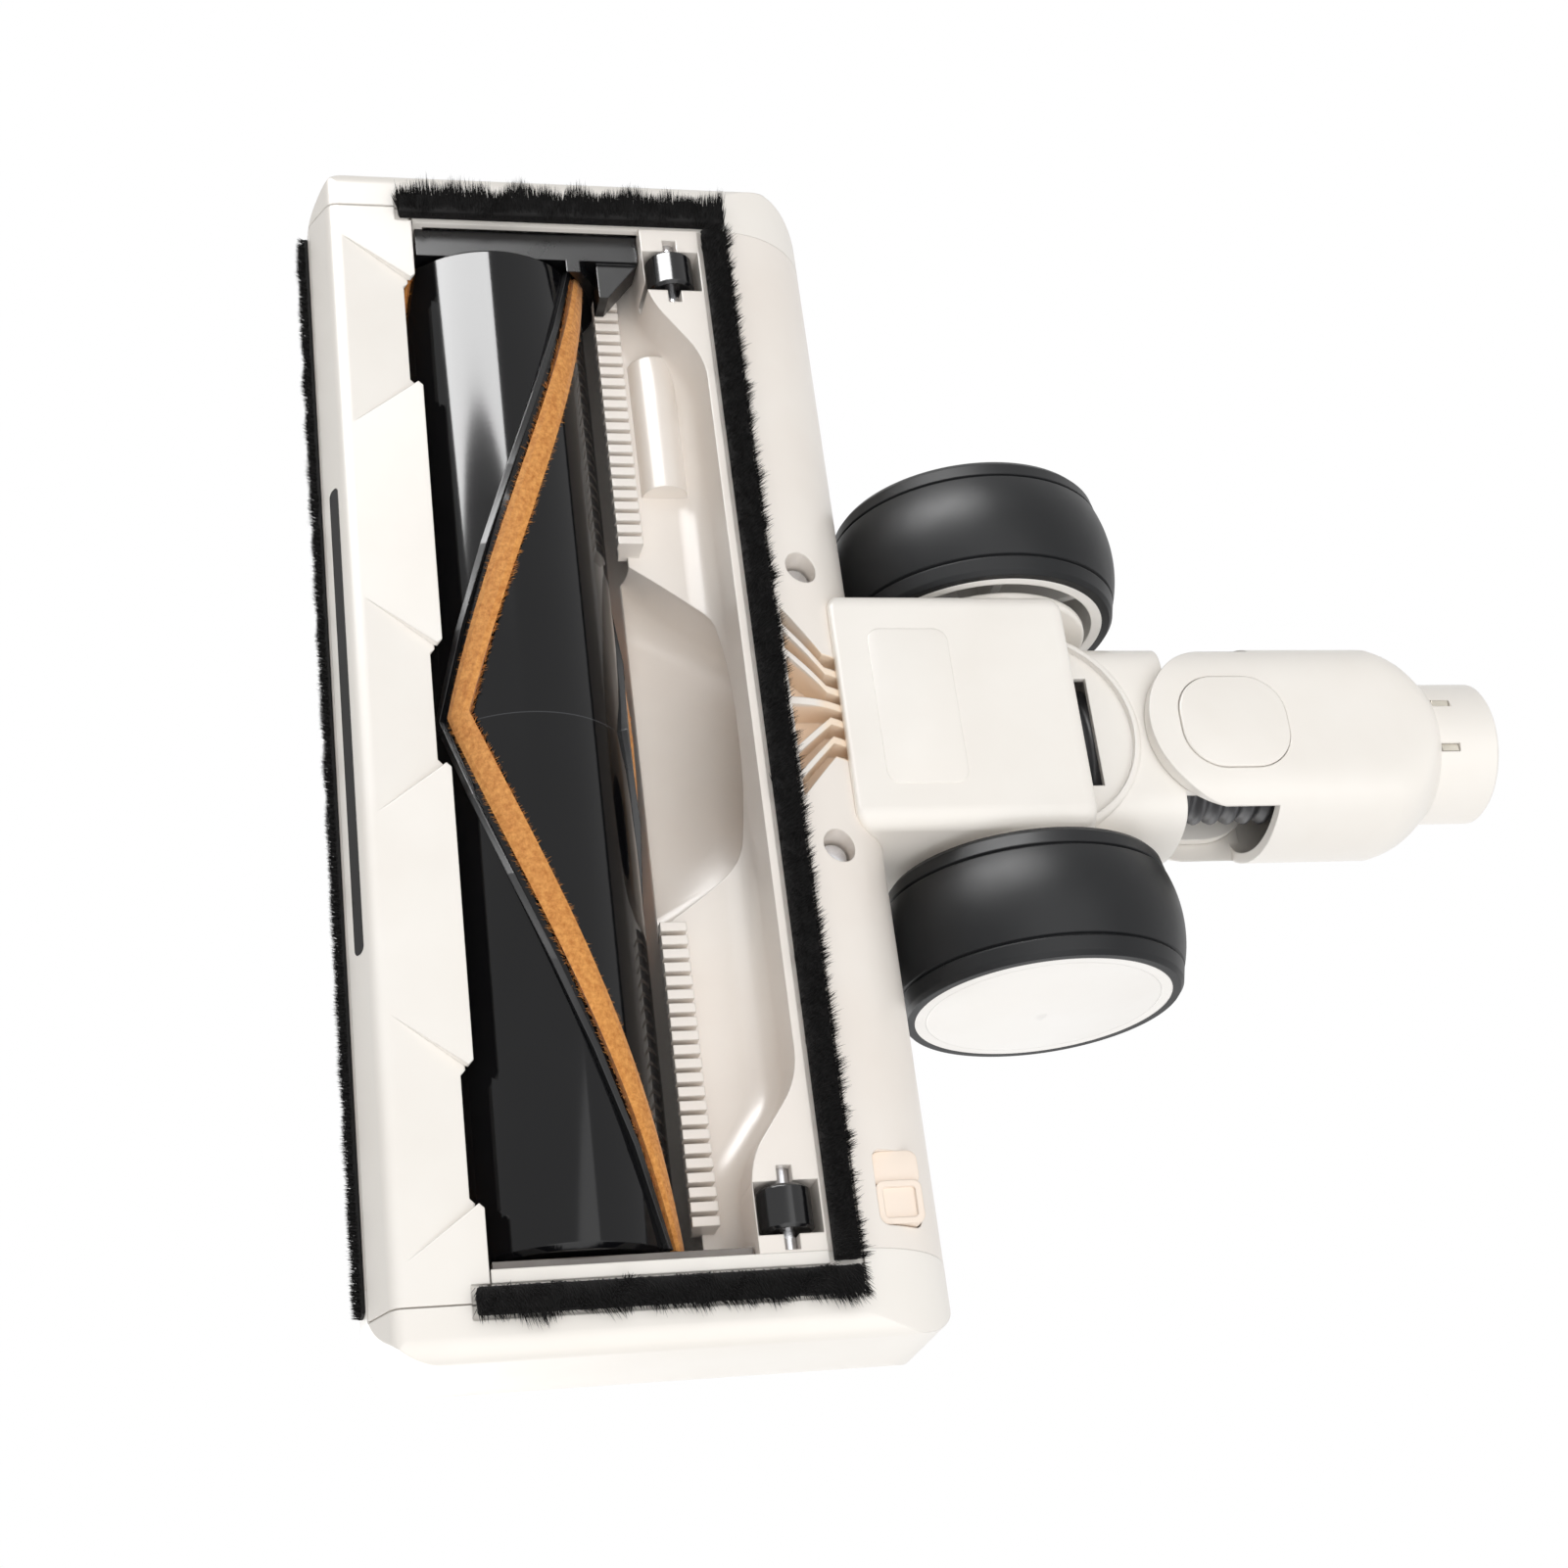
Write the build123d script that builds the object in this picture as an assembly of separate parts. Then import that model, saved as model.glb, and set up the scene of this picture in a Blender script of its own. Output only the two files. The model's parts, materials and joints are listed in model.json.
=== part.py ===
from build123d import *
import os
from math import asin, cos, radians, sin

# Powered floor brush head, standing on its felt strips and rear wheels.
# Millimetres, +Z up, front of the head toward -Y, neck toward +Y, belt drive at +X.
# Lengths along Y are measured here from the middle of the felt frame.

# Head body
head_length = 264.0
head_front = -55.0
head_rear = 58.0
crown_gap = 1.1
rear_wall_top = 40.0
front_wall_top = 30.0
crown_half = 14.0
chin_run = 4.0
chin_rise = 9.0
chin_round = 3.0
heel_round = 22.0
rear_round = 8.0
crown_rear_round = 30.0
crown_front_round = 26.0
brow_round = 12.0
plan_corner = 12.0
shoulder_round = 28.0
foot_round = 4.0
shell_wall = 2.4
pile_height = 3.5
parting_z = 22.0
cap_length = 16.0
drive_cover_length = 13.5
seat_gap = 0.3
overrun = 1.0

# Roller
roller_y = -16.0
roller_ground_gap = 0.2
roller_radius = 21.8
bristle_height = 2.0
chamber_gap = 2.7
roller_chamfer = 1.0
roller_hole_radius = 4.0
hood_wall = 2.0
roller_wall = 4.0
roller_end_gap = 0.6
journal_radius = 4.0
running_gap = 0.05
strip_count = 3
strip_width = 5.5
strip_depth = 1.5
strip_vertex_angle = -41.0
strip_sweep = 104.0
strip_stations = 6
blade_width = 1.4
blade_height = 1.3
blade_spacing = 5.0

# Suction mouth, comb and duct
lip_inner = -35.0
mouth_rear = 28.5
mouth_pad_edge = 17.0
mouth_pad_length = 18.0
mouth_slope = 16.0
mouth_round = 18.0
cavity_top = 21.0
cavity_round = 6.0
throat_half = 42.0
throat_front = 10.0
throat_floor = 12.0
throat_roof = 40.0
throat_round = 8.0
duct_radius = 12.6
duct_wall = 2.0
hose_socket_depth = 7.0
tooth_pitch = 2.9
tooth_width = 1.9
tooth_front = 7.4
tooth_back = 12.8
tooth_bottom = 15.0
tooth_clearance = 0.6

# Felt strips and front strip
felt_width = 6.3
felt_margin = 7.0
felt_front = -36.7
felt_rear = 36.7
felt_groove = 0.8
felt_gap = 0.15
front_strip_height = 5.0
front_strip_depth = 1.5
front_strip_margin = 12.0
front_strip_rise = 1.0

# Front bumper with its pads, and the light
bumper_margin = 10.0
bumper_top = 12.0
pad_reach = 1.6
channel_depth = 2.2
channel_front = -48.5
channel_length = 24.0
channel_spread = 12.0
channel_pitch = 90.0
channel_chamfer = 2.4
window_length = 104.0
window_height = 3.6
window_thickness = 1.6
window_round = 1.5
board_thickness = 1.2
board_height = 3.0
led_size = 2.0
led_count = 4

# Vents, screw wells and latch
vent_inner_y = 51.0
vent_bend_y = 46.0
vent_depth = 9.0
vent_web = 1.6
vent_outer_widths = (9.8, 4.2, 4.0)
vent_inner_widths = (2.1, 2.8, 3.0)
well_x = 32.4
well_y = 43.8
well_radius = 3.6
well_depth = 10.0
screw_head_radius = 3.0
screw_head_height = 2.2
screw_shank_radius = 1.4
screw_shank_length = 8.0
latch_setback = 28.0
latch_y = 46.0
latch_recess_length = 15.0
latch_recess_width = 9.6
latch_slot_depth = 7.0
latch_length = 8.6
latch_height = 6.0
latch_rim = 1.3
latch_corner = 2.0
latch_tongue_width = 4.8
latch_tongue_height = 2.0
latch_tongue_rise = 3.0
latch_proud = 0.6
latch_catch = 3.0
latch_gap = 0.3
spring_radius = 1.8
spring_wire = 0.35
spring_turns = 5

# Support rollers
support_inset = 24.7
support_y = 23.5
support_radius = 5.2
support_width = 8.6
support_ground_gap = 1.5
support_chamfer = 0.6
support_pin_radius = 1.5
support_pin_length = 16.4
pocket_gap = 1.0
pocket_length = 10.4
pocket_width = 12.6

# Belt drive
bracket_length = 7.0
bracket_arch = 2.2
bracket_arch_length = 3.0
wedge_length = 9.0
wedge_tip = 2.0
wedge_rise = 1.0
plate_thickness = 2.2
plate_bottom = 6.5
plate_front_gap = 1.0
motor_y = 25.0
motor_z = 33.0
motor_radius = 10.4
motor_length = 52.0
motor_shaft_radius = 1.5
motor_bell = 2.0
bulge_depth = 5.0
bulge_length = 34.0
saddle_length = 6.0
saddle_half = 6.0
saddle_drop = 4.0
shaft_depth = 10.0
roller_pulley_radius = 9.0
motor_pulley_radius = 4.5
pulley_width = 5.0
pulley_flange = 1.0
belt_thickness = 1.3
belt_gap = 0.3
bearing_radius = 8.0
bearing_width = 5.0

# Rear wheels, axles and neck cradle
axle_setback = 33.5
tyre_radius = 32.4
tyre_shoulder = 1.6
tyre_thickness = 5.0
tyre_width = 28.5
tyre_groove = 0.8
tyre_edge = 1.0
tyre_groove_inset = 4.2
wheel_inner_x = 30.0
rim_wall = 2.4
hub_radius = 6.5
spoke_count = 6
spoke_width = 2.0
spoke_root = 0.5
wheel_cap_dome = 2.0
axle_radius = 3.0
axle_head_radius = 5.5
cradle_half = 27.4
cradle_wall = 2.4
cradle_front_setback = 9.0
cradle_floor_z = 6.0
cradle_rear_reach = 9.5
cradle_edge_round = 4.0
cheek_radius = 16.5
cheek_straight = 1.0
cheek_rear_round = 10.0
cheek_top_round = 4.0
cradle_front_round = 1.0
cradle_heel_round = 3.0
hose_play = 1.0

# Neck
ball_radius = 27.0
ball_half = 24.7
ball_wall = 2.6
ball_side_wall = 3.2
ball_foot = 20.0
ball_front = 12.0
foot_recess_radius = 24.2
foot_recess = 2.2
foot_wall = 2.0
foot_slot_half = 14.5
foot_slot_reach = 12.5
link_radius = 24.0
link_wall = 2.4
link_reach = 35.5
pivot_reach = 48.5
ear_radius = 15.0
ear_thickness = 3.0
ear_gap = 0.6
fork_radius = 19.6
fork_root_radius = 14.0
fork_thickness = 3.6
fork_gap = 0.4
pivot_pin_radius = 3.5
pivot_flange_radius = 5.5
pivot_flange = 1.0
pivot_cap_length = 25.0
pivot_cap_width = 22.0
pivot_cap_round = 9.0
pivot_cap_rise = 0.8
tube_gap_reach = 8.0
tube_body_reach = 39.0
tube_shoulder_reach = 50.0
spigot_reach = 64.0
spigot_radius = 16.0
spigot_wall = 2.4
hose_radius = 15.0
hose_wall = 2.0
hose_rib_pitch = 5.0
hose_rib_depth = 1.4
hose_seat_reach = 26.0
hose_seat = 5.0
hose_seat_taper = 1.0
cap_seat = 1.2
contact_length = 4.0
contact_width = 1.6
contact_spacing = 11.0
contact_depth = 1.2

# Places worked out from the sizes above
bristle_radius = roller_radius + bristle_height
chamber_radius = bristle_radius + chamber_gap
roller_z = bristle_radius + roller_ground_gap
head_top = roller_z + chamber_radius + hood_wall + crown_gap + shell_wall
half_length = head_length / 2
cap_joint = -(half_length - cap_length)
drive_joint = half_length - drive_cover_length
felt_outer = half_length - felt_margin
felt_inner = felt_outer - felt_width
bumper_half = half_length - bumper_margin
roller_near = cap_joint + plate_thickness + roller_end_gap
bracket_face = drive_joint - bracket_length
roller_far = bracket_face - roller_end_gap
pulley_x = drive_joint + seat_gap + roller_end_gap
axle_y = head_rear + axle_setback
axle_z = tyre_radius
neck_z = axle_z
pivot_y = axle_y + pivot_reach
tube_front = pivot_y + tube_gap_reach
tube_body_end = pivot_y + tube_body_reach
tube_shoulder_end = pivot_y + tube_shoulder_reach
spigot_end = pivot_y + spigot_reach
hose_front = head_rear - hose_socket_depth
hose_rear = pivot_y + hose_seat_reach
front_most = head_front - front_strip_depth
frame_middle = (front_most + spigot_end) / 2
beyond = head_length


def block(x0, x1, y0, y1, z0, z1):
    return Pos((x0 + x1) / 2, (y0 + y1) / 2, (z0 + z1) / 2) * Box(x1 - x0, y1 - y0, z1 - z0)


def rod_x(x0, x1, y, z, radius):
    return Pos((x0 + x1) / 2, y, z) * Rot(0, 90, 0) * Cylinder(radius, x1 - x0)


def rod_y(x, y0, y1, z, radius):
    return Pos(x, (y0 + y1) / 2, z) * Rot(90, 0, 0) * Cylinder(radius, y1 - y0)


def rod_z(x, y, z0, z1, radius):
    return Pos(x, y, (z0 + z1) / 2) * Cylinder(radius, z1 - z0)


def across(section, x0, x1):
    """Extrude a section drawn in Y and Z from one X to another."""
    return Pos(x0, 0, 0) * extrude(Plane.YZ * section, x1 - x0)


def upright(outline, z0, z1):
    """Extrude a plan drawn in X and Y from one height to another."""
    return Pos(0, 0, z0) * extrude(outline, z1 - z0)


def turned(points, y, z):
    """Turn an outline of (x, radius) points about a line along X."""
    lathe = Plane(origin=(0, y, z), x_dir=(1, 0, 0), z_dir=(0, -1, 0))
    outline = make_face(Polyline(*points, close=True))
    return revolve(lathe * outline, Axis((0, y, z), (1, 0, 0)))


def rounded(points, radii):
    """A polygon with each corner rounded by its own radius."""
    outline = make_face(Polyline(*points, close=True))
    for point, radius in zip(points, radii):
        corner = outline.vertices().sort_by_distance(Vector(*point))[0]
        outline = fillet(corner, radius)
    return outline


def mirrored(shape):
    return mirror(shape, about=Plane.YZ)


def save(name, shape):
    """Write one piece, with the middle of the whole part's box over the origin."""
    export_step(Pos(0, -frame_middle, 0) * shape, "parts/" + name + ".step")


# Outer form of the head: side section, plan and front view cut one another
def head_form(inset):
    """The head's outside, or the same form a wall smaller."""
    floor = pile_height + inset
    roof = head_top - inset
    front = head_front + inset
    rear = head_rear - inset
    half = half_length - inset
    side = rounded(
        [
            (front + chin_run, floor),
            (rear, floor),
            (rear, rear_wall_top - inset),
            (roller_y + crown_half, roof),
            (roller_y - crown_half, roof),
            (front, front_wall_top - inset / 2),
            (front, pile_height + chin_rise),
        ],
        [
            chin_round,
            heel_round - inset,
            rear_round - inset,
            crown_rear_round,
            crown_front_round,
            brow_round,
            chin_round,
        ],
    )
    plan = Pos(0, (front + rear) / 2) * RectangleRounded(2 * half, rear - front, plan_corner - inset)
    end = rounded(
        [(-half, floor), (half, floor), (half, roof), (-half, roof)],
        [foot_round - inset, foot_round - inset, shoulder_round - inset, shoulder_round - inset],
    )
    end_view = Pos(0, rear, 0) * extrude(Plane.XZ * end, rear - front)
    return across(side, -half, half) & upright(plan, 0, roof) & end_view


outer_form = head_form(0)
inner_form = head_form(shell_wall)
chamber = rod_x(cap_joint - beyond, drive_joint + beyond, roller_y, roller_z, chamber_radius)
near_cut = block(-beyond, cap_joint, -beyond, beyond, -beyond, beyond)
far_cut = block(drive_joint, beyond, -beyond, beyond, -beyond, beyond)
lower_cut = block(-beyond, beyond, -beyond, beyond, -beyond, parting_z)
upper_cut = block(-beyond, beyond, -beyond, beyond, parting_z, beyond)
bumper_space = block(-bumper_half, bumper_half, -beyond, lip_inner, -beyond, bumper_top)


# Suction mouth: straight rear edge, stepping forward beside the support rollers
def mouth_cut():
    pad_near = cap_joint + mouth_pad_length
    pad_far = drive_joint - mouth_pad_length
    points = [
        (cap_joint - overrun, lip_inner),
        (drive_joint + overrun, lip_inner),
        (drive_joint + overrun, mouth_pad_edge),
        (pad_far, mouth_pad_edge),
        (pad_far - mouth_slope, mouth_rear),
        (pad_near + mouth_slope, mouth_rear),
        (pad_near, mouth_pad_edge),
        (cap_joint - overrun, mouth_pad_edge),
    ]
    plan = make_face(Polyline(*points, close=True))
    for point in points[3:7]:
        plan = fillet(plan.vertices().sort_by_distance(Vector(*point))[0], mouth_round)
    well = upright(plan, -overrun, cavity_top)
    roof_edges = well.edges().group_by(Axis.Z)[-1]
    roof_edges = roof_edges.filter_by(lambda e: e.center().Y > roller_y)
    roof_edges = roof_edges.filter_by(lambda e: cap_joint < e.center().X < drive_joint)
    return fillet(roof_edges, cavity_round)


def throat(grow):
    """Funnel from the mouth to the hose, grown by a wall for its outside."""
    height = throat_roof - throat_floor
    start = Plane(origin=(0, throat_front, throat_floor + height / 2), x_dir=(1, 0, 0), z_dir=(0, 1, 0))
    end = Plane(origin=(0, hose_front, neck_z), x_dir=(1, 0, 0), z_dir=(0, 1, 0))
    wide = RectangleRounded(2 * throat_half + 2 * grow, height + 2 * grow, throat_round + grow)
    return loft([start * wide, end * Circle(duct_radius + grow)])


def comb():
    """Two rows of teeth hanging from the roof of the mouth."""
    first = throat_half + tooth_pitch
    tooth_root = cavity_top + cavity_round / 4
    count = int((drive_joint - bracket_length - first) // tooth_pitch)
    teeth = []
    for side in (-1, 1):
        for index in range(count):
            x = side * (first + index * tooth_pitch)
            half = tooth_width / 2
            teeth.append(block(x - half, x + half, tooth_front, tooth_back, tooth_bottom, tooth_root))
    return teeth


def vent_slots():
    """Six slots that fan out from the neck toward the rear felt."""
    slots = []
    outer = vent_web / 2
    inner = vent_web / 2
    for outer_width, inner_width in zip(vent_outer_widths, vent_inner_widths):
        points = [
            (outer, felt_rear + felt_groove),
            (outer + outer_width, felt_rear + felt_groove),
            (inner + inner_width, vent_bend_y),
            (inner + inner_width, vent_inner_y),
            (inner, vent_inner_y),
            (inner, vent_bend_y),
        ]
        slot = upright(make_face(Polyline(*points, close=True)), 0, pile_height + vent_depth)
        slots.append(slot)
        slots.append(mirrored(slot))
        outer = outer + outer_width + vent_web
        inner = inner + inner_width + vent_web
    return slots


def support_cuts():
    """Pockets and pin slots of the two support rollers."""
    pin_z = support_ground_gap + support_radius
    cuts = []
    for side in (-1, 1):
        x = side * (half_length - support_inset)
        half = pocket_length / 2
        width = pocket_width / 2
        top = pin_z + support_radius + pocket_gap
        cuts.append(block(x - half, x + half, support_y - width, support_y + width, 0, top))
        reach = support_pin_length / 2
        r = support_pin_radius
        cuts.append(block(x - reach, x + reach, support_y - r, support_y + r, 0, pin_z))
        cuts.append(rod_x(x - reach, x + reach, support_y, pin_z, r))
    return cuts


latch_middle = -(half_length - latch_setback)
latch_z = heel_round + pile_height - (heel_round**2 - (latch_y - head_rear + heel_round) ** 2) ** 0.5


def latch_cut():
    half = latch_recess_length / 2
    width = latch_recess_width / 2
    plan = Pos(latch_middle, latch_y) * RectangleRounded(2 * half, 2 * width, latch_corner)
    return upright(plan, 0, latch_z + latch_slot_depth)


def felt_seat(gap, top):
    """Room for the three felt strips, with a side gap."""
    g = gap
    near = block(-felt_outer - g, -felt_inner + g, felt_front - g, felt_rear + g, 0, top)
    far = block(felt_inner - g, felt_outer + g, felt_front - g, felt_rear + g, 0, top)
    rear = block(-felt_inner - g, felt_inner + g, felt_rear - felt_width - g, felt_rear + g, 0, top)
    return near, far, rear


felt_top = pile_height + felt_groove
felt_grooves = felt_seat(felt_gap, felt_top)


# Neck cradle behind the head, between the wheels
def neck_cradle():
    floor_top = cradle_floor_z + cradle_wall
    front = head_rear - cradle_front_setback
    rear = axle_y + cradle_rear_reach
    inner = cradle_half - cradle_wall
    cheek_points = [
        (front, cradle_floor_z),
        (rear, cradle_floor_z),
        (axle_y + cheek_radius, axle_z - cheek_straight),
        (axle_y + cheek_radius, axle_z + cheek_radius),
        (front, axle_z + cheek_radius),
    ]
    cheek_rounds = [
        cradle_front_round,
        cradle_heel_round,
        cheek_rear_round,
        cheek_radius - cheek_straight,
        cheek_top_round,
    ]
    cheek = rounded(cheek_points, cheek_rounds)
    solid = across(cheek, -cradle_half, cradle_half)
    low_edges = solid.edges().filter_by(Axis.Y).group_by(Axis.Z)[0]
    solid = fillet(low_edges, cradle_edge_round)
    room = block(-inner, inner, head_rear + cradle_wall, beyond, floor_top, beyond)
    hole_rear = head_rear + cradle_wall + overrun
    hose_hole = rod_y(0, head_rear - overrun, hole_rear, neck_z, hose_radius + hose_play)
    bulkhead_top = block(-inner, inner, 0, head_rear + cradle_wall, neck_z + hose_radius, beyond)
    bores = rod_x(-beyond, beyond, axle_y, axle_z, axle_radius)
    return solid - room - hose_hole - bulkhead_top - bores - outer_form - neck_fairing(0)


def neck_fairing(inset):
    """Rounded spine on the upper shell over the duct."""
    radius = duct_radius + 2 * duct_wall + hose_wall + seat_gap + shell_wall - inset
    return rod_y(0, throat_front, head_rear - inset, neck_z, radius)


# Lower shell with mouth, roller tunnel, comb, duct and recesses
socket_radius = hose_radius + running_gap
motor_far = bracket_face - seat_gap
motor_near = motor_far - motor_length
motor_room = rod_x(motor_near, motor_far, motor_y, motor_z, motor_radius)
collar = rod_y(0, hose_front - hood_wall, head_rear, neck_z, socket_radius + duct_wall)
hood_space = rod_x(-beyond, beyond, roller_y, roller_z, chamber_radius + hood_wall)


def base_housing():
    hood = rod_x(cap_joint, drive_joint, roller_y, roller_z, chamber_radius + hood_wall) & upper_cut
    shell = (outer_form & lower_cut) - near_cut - far_cut - bumper_space
    saddles = []
    for x in (motor_near + saddle_length, motor_far - 2 * saddle_length):
        y0 = motor_y - saddle_half
        y1 = motor_y + saddle_half
        saddles.append(block(x, x + saddle_length, y0, y1, parting_z - overrun, motor_z - saddle_drop))
    bulge = rod_x(motor_near, motor_near + bulge_length, motor_y - bulge_depth, cavity_top, bulge_depth)
    shell = shell + hood + throat(duct_wall) + collar + saddles
    shell = shell - chamber - mouth_cut() - throat(0) - motor_room
    shell = shell - rod_y(0, hose_front, head_rear + overrun, neck_z, socket_radius)
    bristle_path = rod_x(-beyond, beyond, roller_y, roller_z, bristle_radius + tooth_clearance)
    shell = shell + [tooth - bristle_path for tooth in comb()] + (bulge - motor_room)
    shell = shell - vent_slots() - support_cuts() - latch_cut() - list(felt_grooves)
    for side in (-1, 1):
        shell = shell - rod_z(side * well_x, well_y, 0, pile_height + well_depth, well_radius)
        shell = shell - rod_z(side * well_x, well_y, 0, screw_tip + seat_gap, screw_shank_radius)
    return shell - latch_tongue(latch_gap)


# Upper shell with the spine over the duct
def top_cover():
    shell = (outer_form & upper_cut) - near_cut - far_cut
    shell = shell + (neck_fairing(0) & upper_cut)
    hollow = block(cap_joint + shell_wall, drive_joint - shell_wall, -beyond, beyond, parting_z, beyond)
    hollow = inner_form & hollow
    shell = shell - hollow - (neck_fairing(shell_wall) & upper_cut) - hood_space
    shaft_hole = rod_x(motor_far, drive_joint + overrun, motor_y, motor_z, motor_pulley_radius)
    return shell - throat(duct_wall) - collar - shaft_hole


# Front lip: four pads with three tapered channels between them
def front_bumper():
    lip = outer_form & bumper_space
    edge = lip_inner + pad_reach
    back = edge + overrun
    pads = block(-bumper_half, bumper_half, lip_inner - overrun, edge, pile_height, pile_height + chin_round)
    lip = lip + pads - chamber
    slope = [
        (channel_front, pile_height),
        (back, pile_height + channel_depth),
        (back, -overrun),
        (channel_front, -overrun),
    ]
    ramp = across(make_face(Polyline(*slope, close=True)), -half_length, half_length)
    half = channel_length / 2
    wide = half + channel_spread
    notch = half + channel_chamfer + overrun
    for middle in (-channel_pitch, 0, channel_pitch):
        fan = [
            (middle - half, back),
            (middle + half, back),
            (middle + wide, channel_front),
            (middle - wide, channel_front),
        ]
        lip = lip - (upright(make_face(Polyline(*fan, close=True)), -overrun, bumper_top) & ramp)
        corner = [
            (middle - notch, back),
            (middle - half, edge - channel_chamfer),
            (middle + half, edge - channel_chamfer),
            (middle + notch, back),
        ]
        lip = lip - upright(make_face(Polyline(*corner, close=True)), -overrun, bumper_top)
    return lip - window() - board_room() - list(felt_grooves)


# Front light: window in the chin of the bumper, board behind it
def chin_plane(depth):
    """Plane along the chin, at a depth behind its face."""
    face = Plane(
        origin=(0, head_front + chin_run / 2, pile_height + chin_rise / 2),
        x_dir=(1, 0, 0),
        z_dir=(0, -chin_rise, -chin_run),
    )
    return face.offset(-depth)


def window():
    pane = RectangleRounded(window_length, window_height, window_round)
    return extrude(chin_plane(window_thickness) * pane, window_thickness)


def board_room():
    depth = window_thickness + led_size + board_thickness
    bay = Rectangle(window_length - 2 * window_height, board_height)
    return extrude(chin_plane(depth) * bay, depth - window_thickness)


def led_board():
    length = window_length - 2 * window_height
    depth = window_thickness + led_size + board_thickness
    board = extrude(chin_plane(depth) * Rectangle(length, board_height), board_thickness)
    spacing = length / led_count
    for index in range(led_count):
        place = Pos((index + 0.5) * spacing - length / 2, 0)
        lamp = chin_plane(depth - board_thickness) * place * Rectangle(led_size * 2, led_size)
        board = board + extrude(lamp, led_size - seat_gap)
    return board


def front_strip():
    low = pile_height + chin_rise + front_strip_rise
    reach = half_length - front_strip_margin
    strip = block(-reach, reach, front_most, head_front, low, low + front_strip_height)
    return fillet(strip.edges().filter_by(Axis.X).group_by(Axis.Y)[0], front_strip_depth / 2)


# Removable end cap at the free end of the roller
bearing_far = cap_joint - seat_gap
bearing_near = bearing_far - bearing_width


def bumper_room(g):
    """Space of the bumper's ends, grown by a gap or a wall."""
    half = bumper_half + g
    return block(-half, half, -beyond, lip_inner + pad_reach + g, -beyond, bumper_top + g)


def end_cap():
    keep = [
        rod_x(-half_length, cap_joint, roller_y, roller_z, bearing_radius + shell_wall),
        bumper_room(shell_wall + seat_gap),
        latch_tongue(shell_wall),
    ]
    cap = (outer_form & near_cut) - (inner_form - keep) - bumper_room(seat_gap) - list(felt_grooves)
    bore = rod_x(bearing_near, cap_joint + overrun, roller_y, roller_z, bearing_radius)
    tip_radius = journal_radius + seat_gap
    tip_room = rod_x(bearing_near - bearing_width, bearing_near, roller_y, roller_z, tip_radius)
    return cap - bore - tip_room - latch_tongue(latch_gap)


def end_plate(x0, x1, hole):
    """Plate that closes one end of the roller tunnel."""
    disc = rod_x(x0, x1, roller_y, roller_z, chamber_radius - seat_gap)
    wing_top = cavity_top - cavity_round - seat_gap
    wing = block(x0, x1, roller_y, mouth_pad_edge - seat_gap, plate_bottom, wing_top)
    front = lip_inner + pad_reach + plate_front_gap
    plate = (disc + wing) & block(x0, x1, front, beyond, plate_bottom, beyond)
    return plate - rod_x(x0 - overrun, x1 + overrun, roller_y, roller_z, hole)


def bearing_plate():
    return end_plate(cap_joint, cap_joint + plate_thickness, journal_radius + seat_gap)


def roller_bearing():
    ring = rod_x(bearing_near, bearing_far, roller_y, roller_z, bearing_radius)
    return ring - rod_x(bearing_near, bearing_far, roller_y, roller_z, journal_radius + running_gap)


# Black bracket at the driven end, with an arch round the roller and a wedge beside the comb
def drive_bracket():
    bracket = end_plate(bracket_face, drive_joint, journal_radius + running_gap)
    outer = chamber_radius - seat_gap
    arch = rod_x(bracket_face - bracket_arch_length, bracket_face, roller_y, roller_z, outer)
    arch = arch - rod_x(-beyond, beyond, roller_y, roller_z, outer - bracket_arch)
    arch = arch & block(0, beyond, lip_inner + pad_reach + plate_front_gap, tooth_front, plate_bottom, beyond)
    wedge = [
        (bracket_face, tooth_front),
        (bracket_face, mouth_pad_edge - seat_gap),
        (bracket_face - wedge_length, tooth_front + wedge_tip),
        (bracket_face - wedge_length, tooth_front),
    ]
    flap_plan = make_face(Polyline(*wedge, close=True))
    flap = upright(flap_plan, plate_bottom + wedge_rise, tooth_bottom - seat_gap)
    return bracket + arch + flap


# Latch that holds the end cap
latch_rest = latch_middle - (latch_recess_length - latch_length) / 2 + latch_gap


def latch_tongue(gap):
    """Tongue from the slider into the end cap, grown by a gap for its slot."""
    half = latch_tongue_width / 2 + gap
    z0 = latch_z + latch_tongue_rise - gap
    z1 = latch_z + latch_tongue_rise + latch_tongue_height + gap
    return block(cap_joint - latch_catch - gap, latch_rest, latch_y - half, latch_y + half, z0, z1)


def latch_slider():
    width = latch_recess_width - 2 * latch_gap
    plan = Pos(latch_rest, latch_y) * RectangleRounded(latch_length, width, latch_corner - latch_gap)
    dish = RectangleRounded(latch_length - 2 * latch_rim, width - 2 * latch_rim, latch_corner - latch_rim)
    finger = Pos(latch_rest, latch_y) * dish
    button = upright(plan, latch_z - latch_proud, latch_z + latch_height)
    button = button - upright(finger, latch_z - latch_proud, latch_z)
    return button + latch_tongue(0)


def latch_spring():
    x0 = latch_rest + latch_length / 2
    x1 = latch_middle + latch_recess_length / 2
    length = x1 - x0 - 2 * spring_wire
    z = latch_z + latch_height / 2
    start = (x0 + spring_wire, latch_y, z)
    path = Helix(length / spring_turns, length, spring_radius, center=start, direction=(1, 0, 0))
    return sweep(Plane(path @ 0, z_dir=path % 0) * Circle(spring_wire), path=path)


# Roller with chevron bristle strips and wiper blades
def strip_angle(x):
    """Angle of the strip from straight down toward the rear, at a place along the roller."""
    return strip_vertex_angle + strip_sweep * abs(x - roller_middle) / roller_half


roller_middle = (roller_near + roller_far) / 2
roller_half = (roller_far - roller_near) / 2 - roller_end_gap


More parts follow.
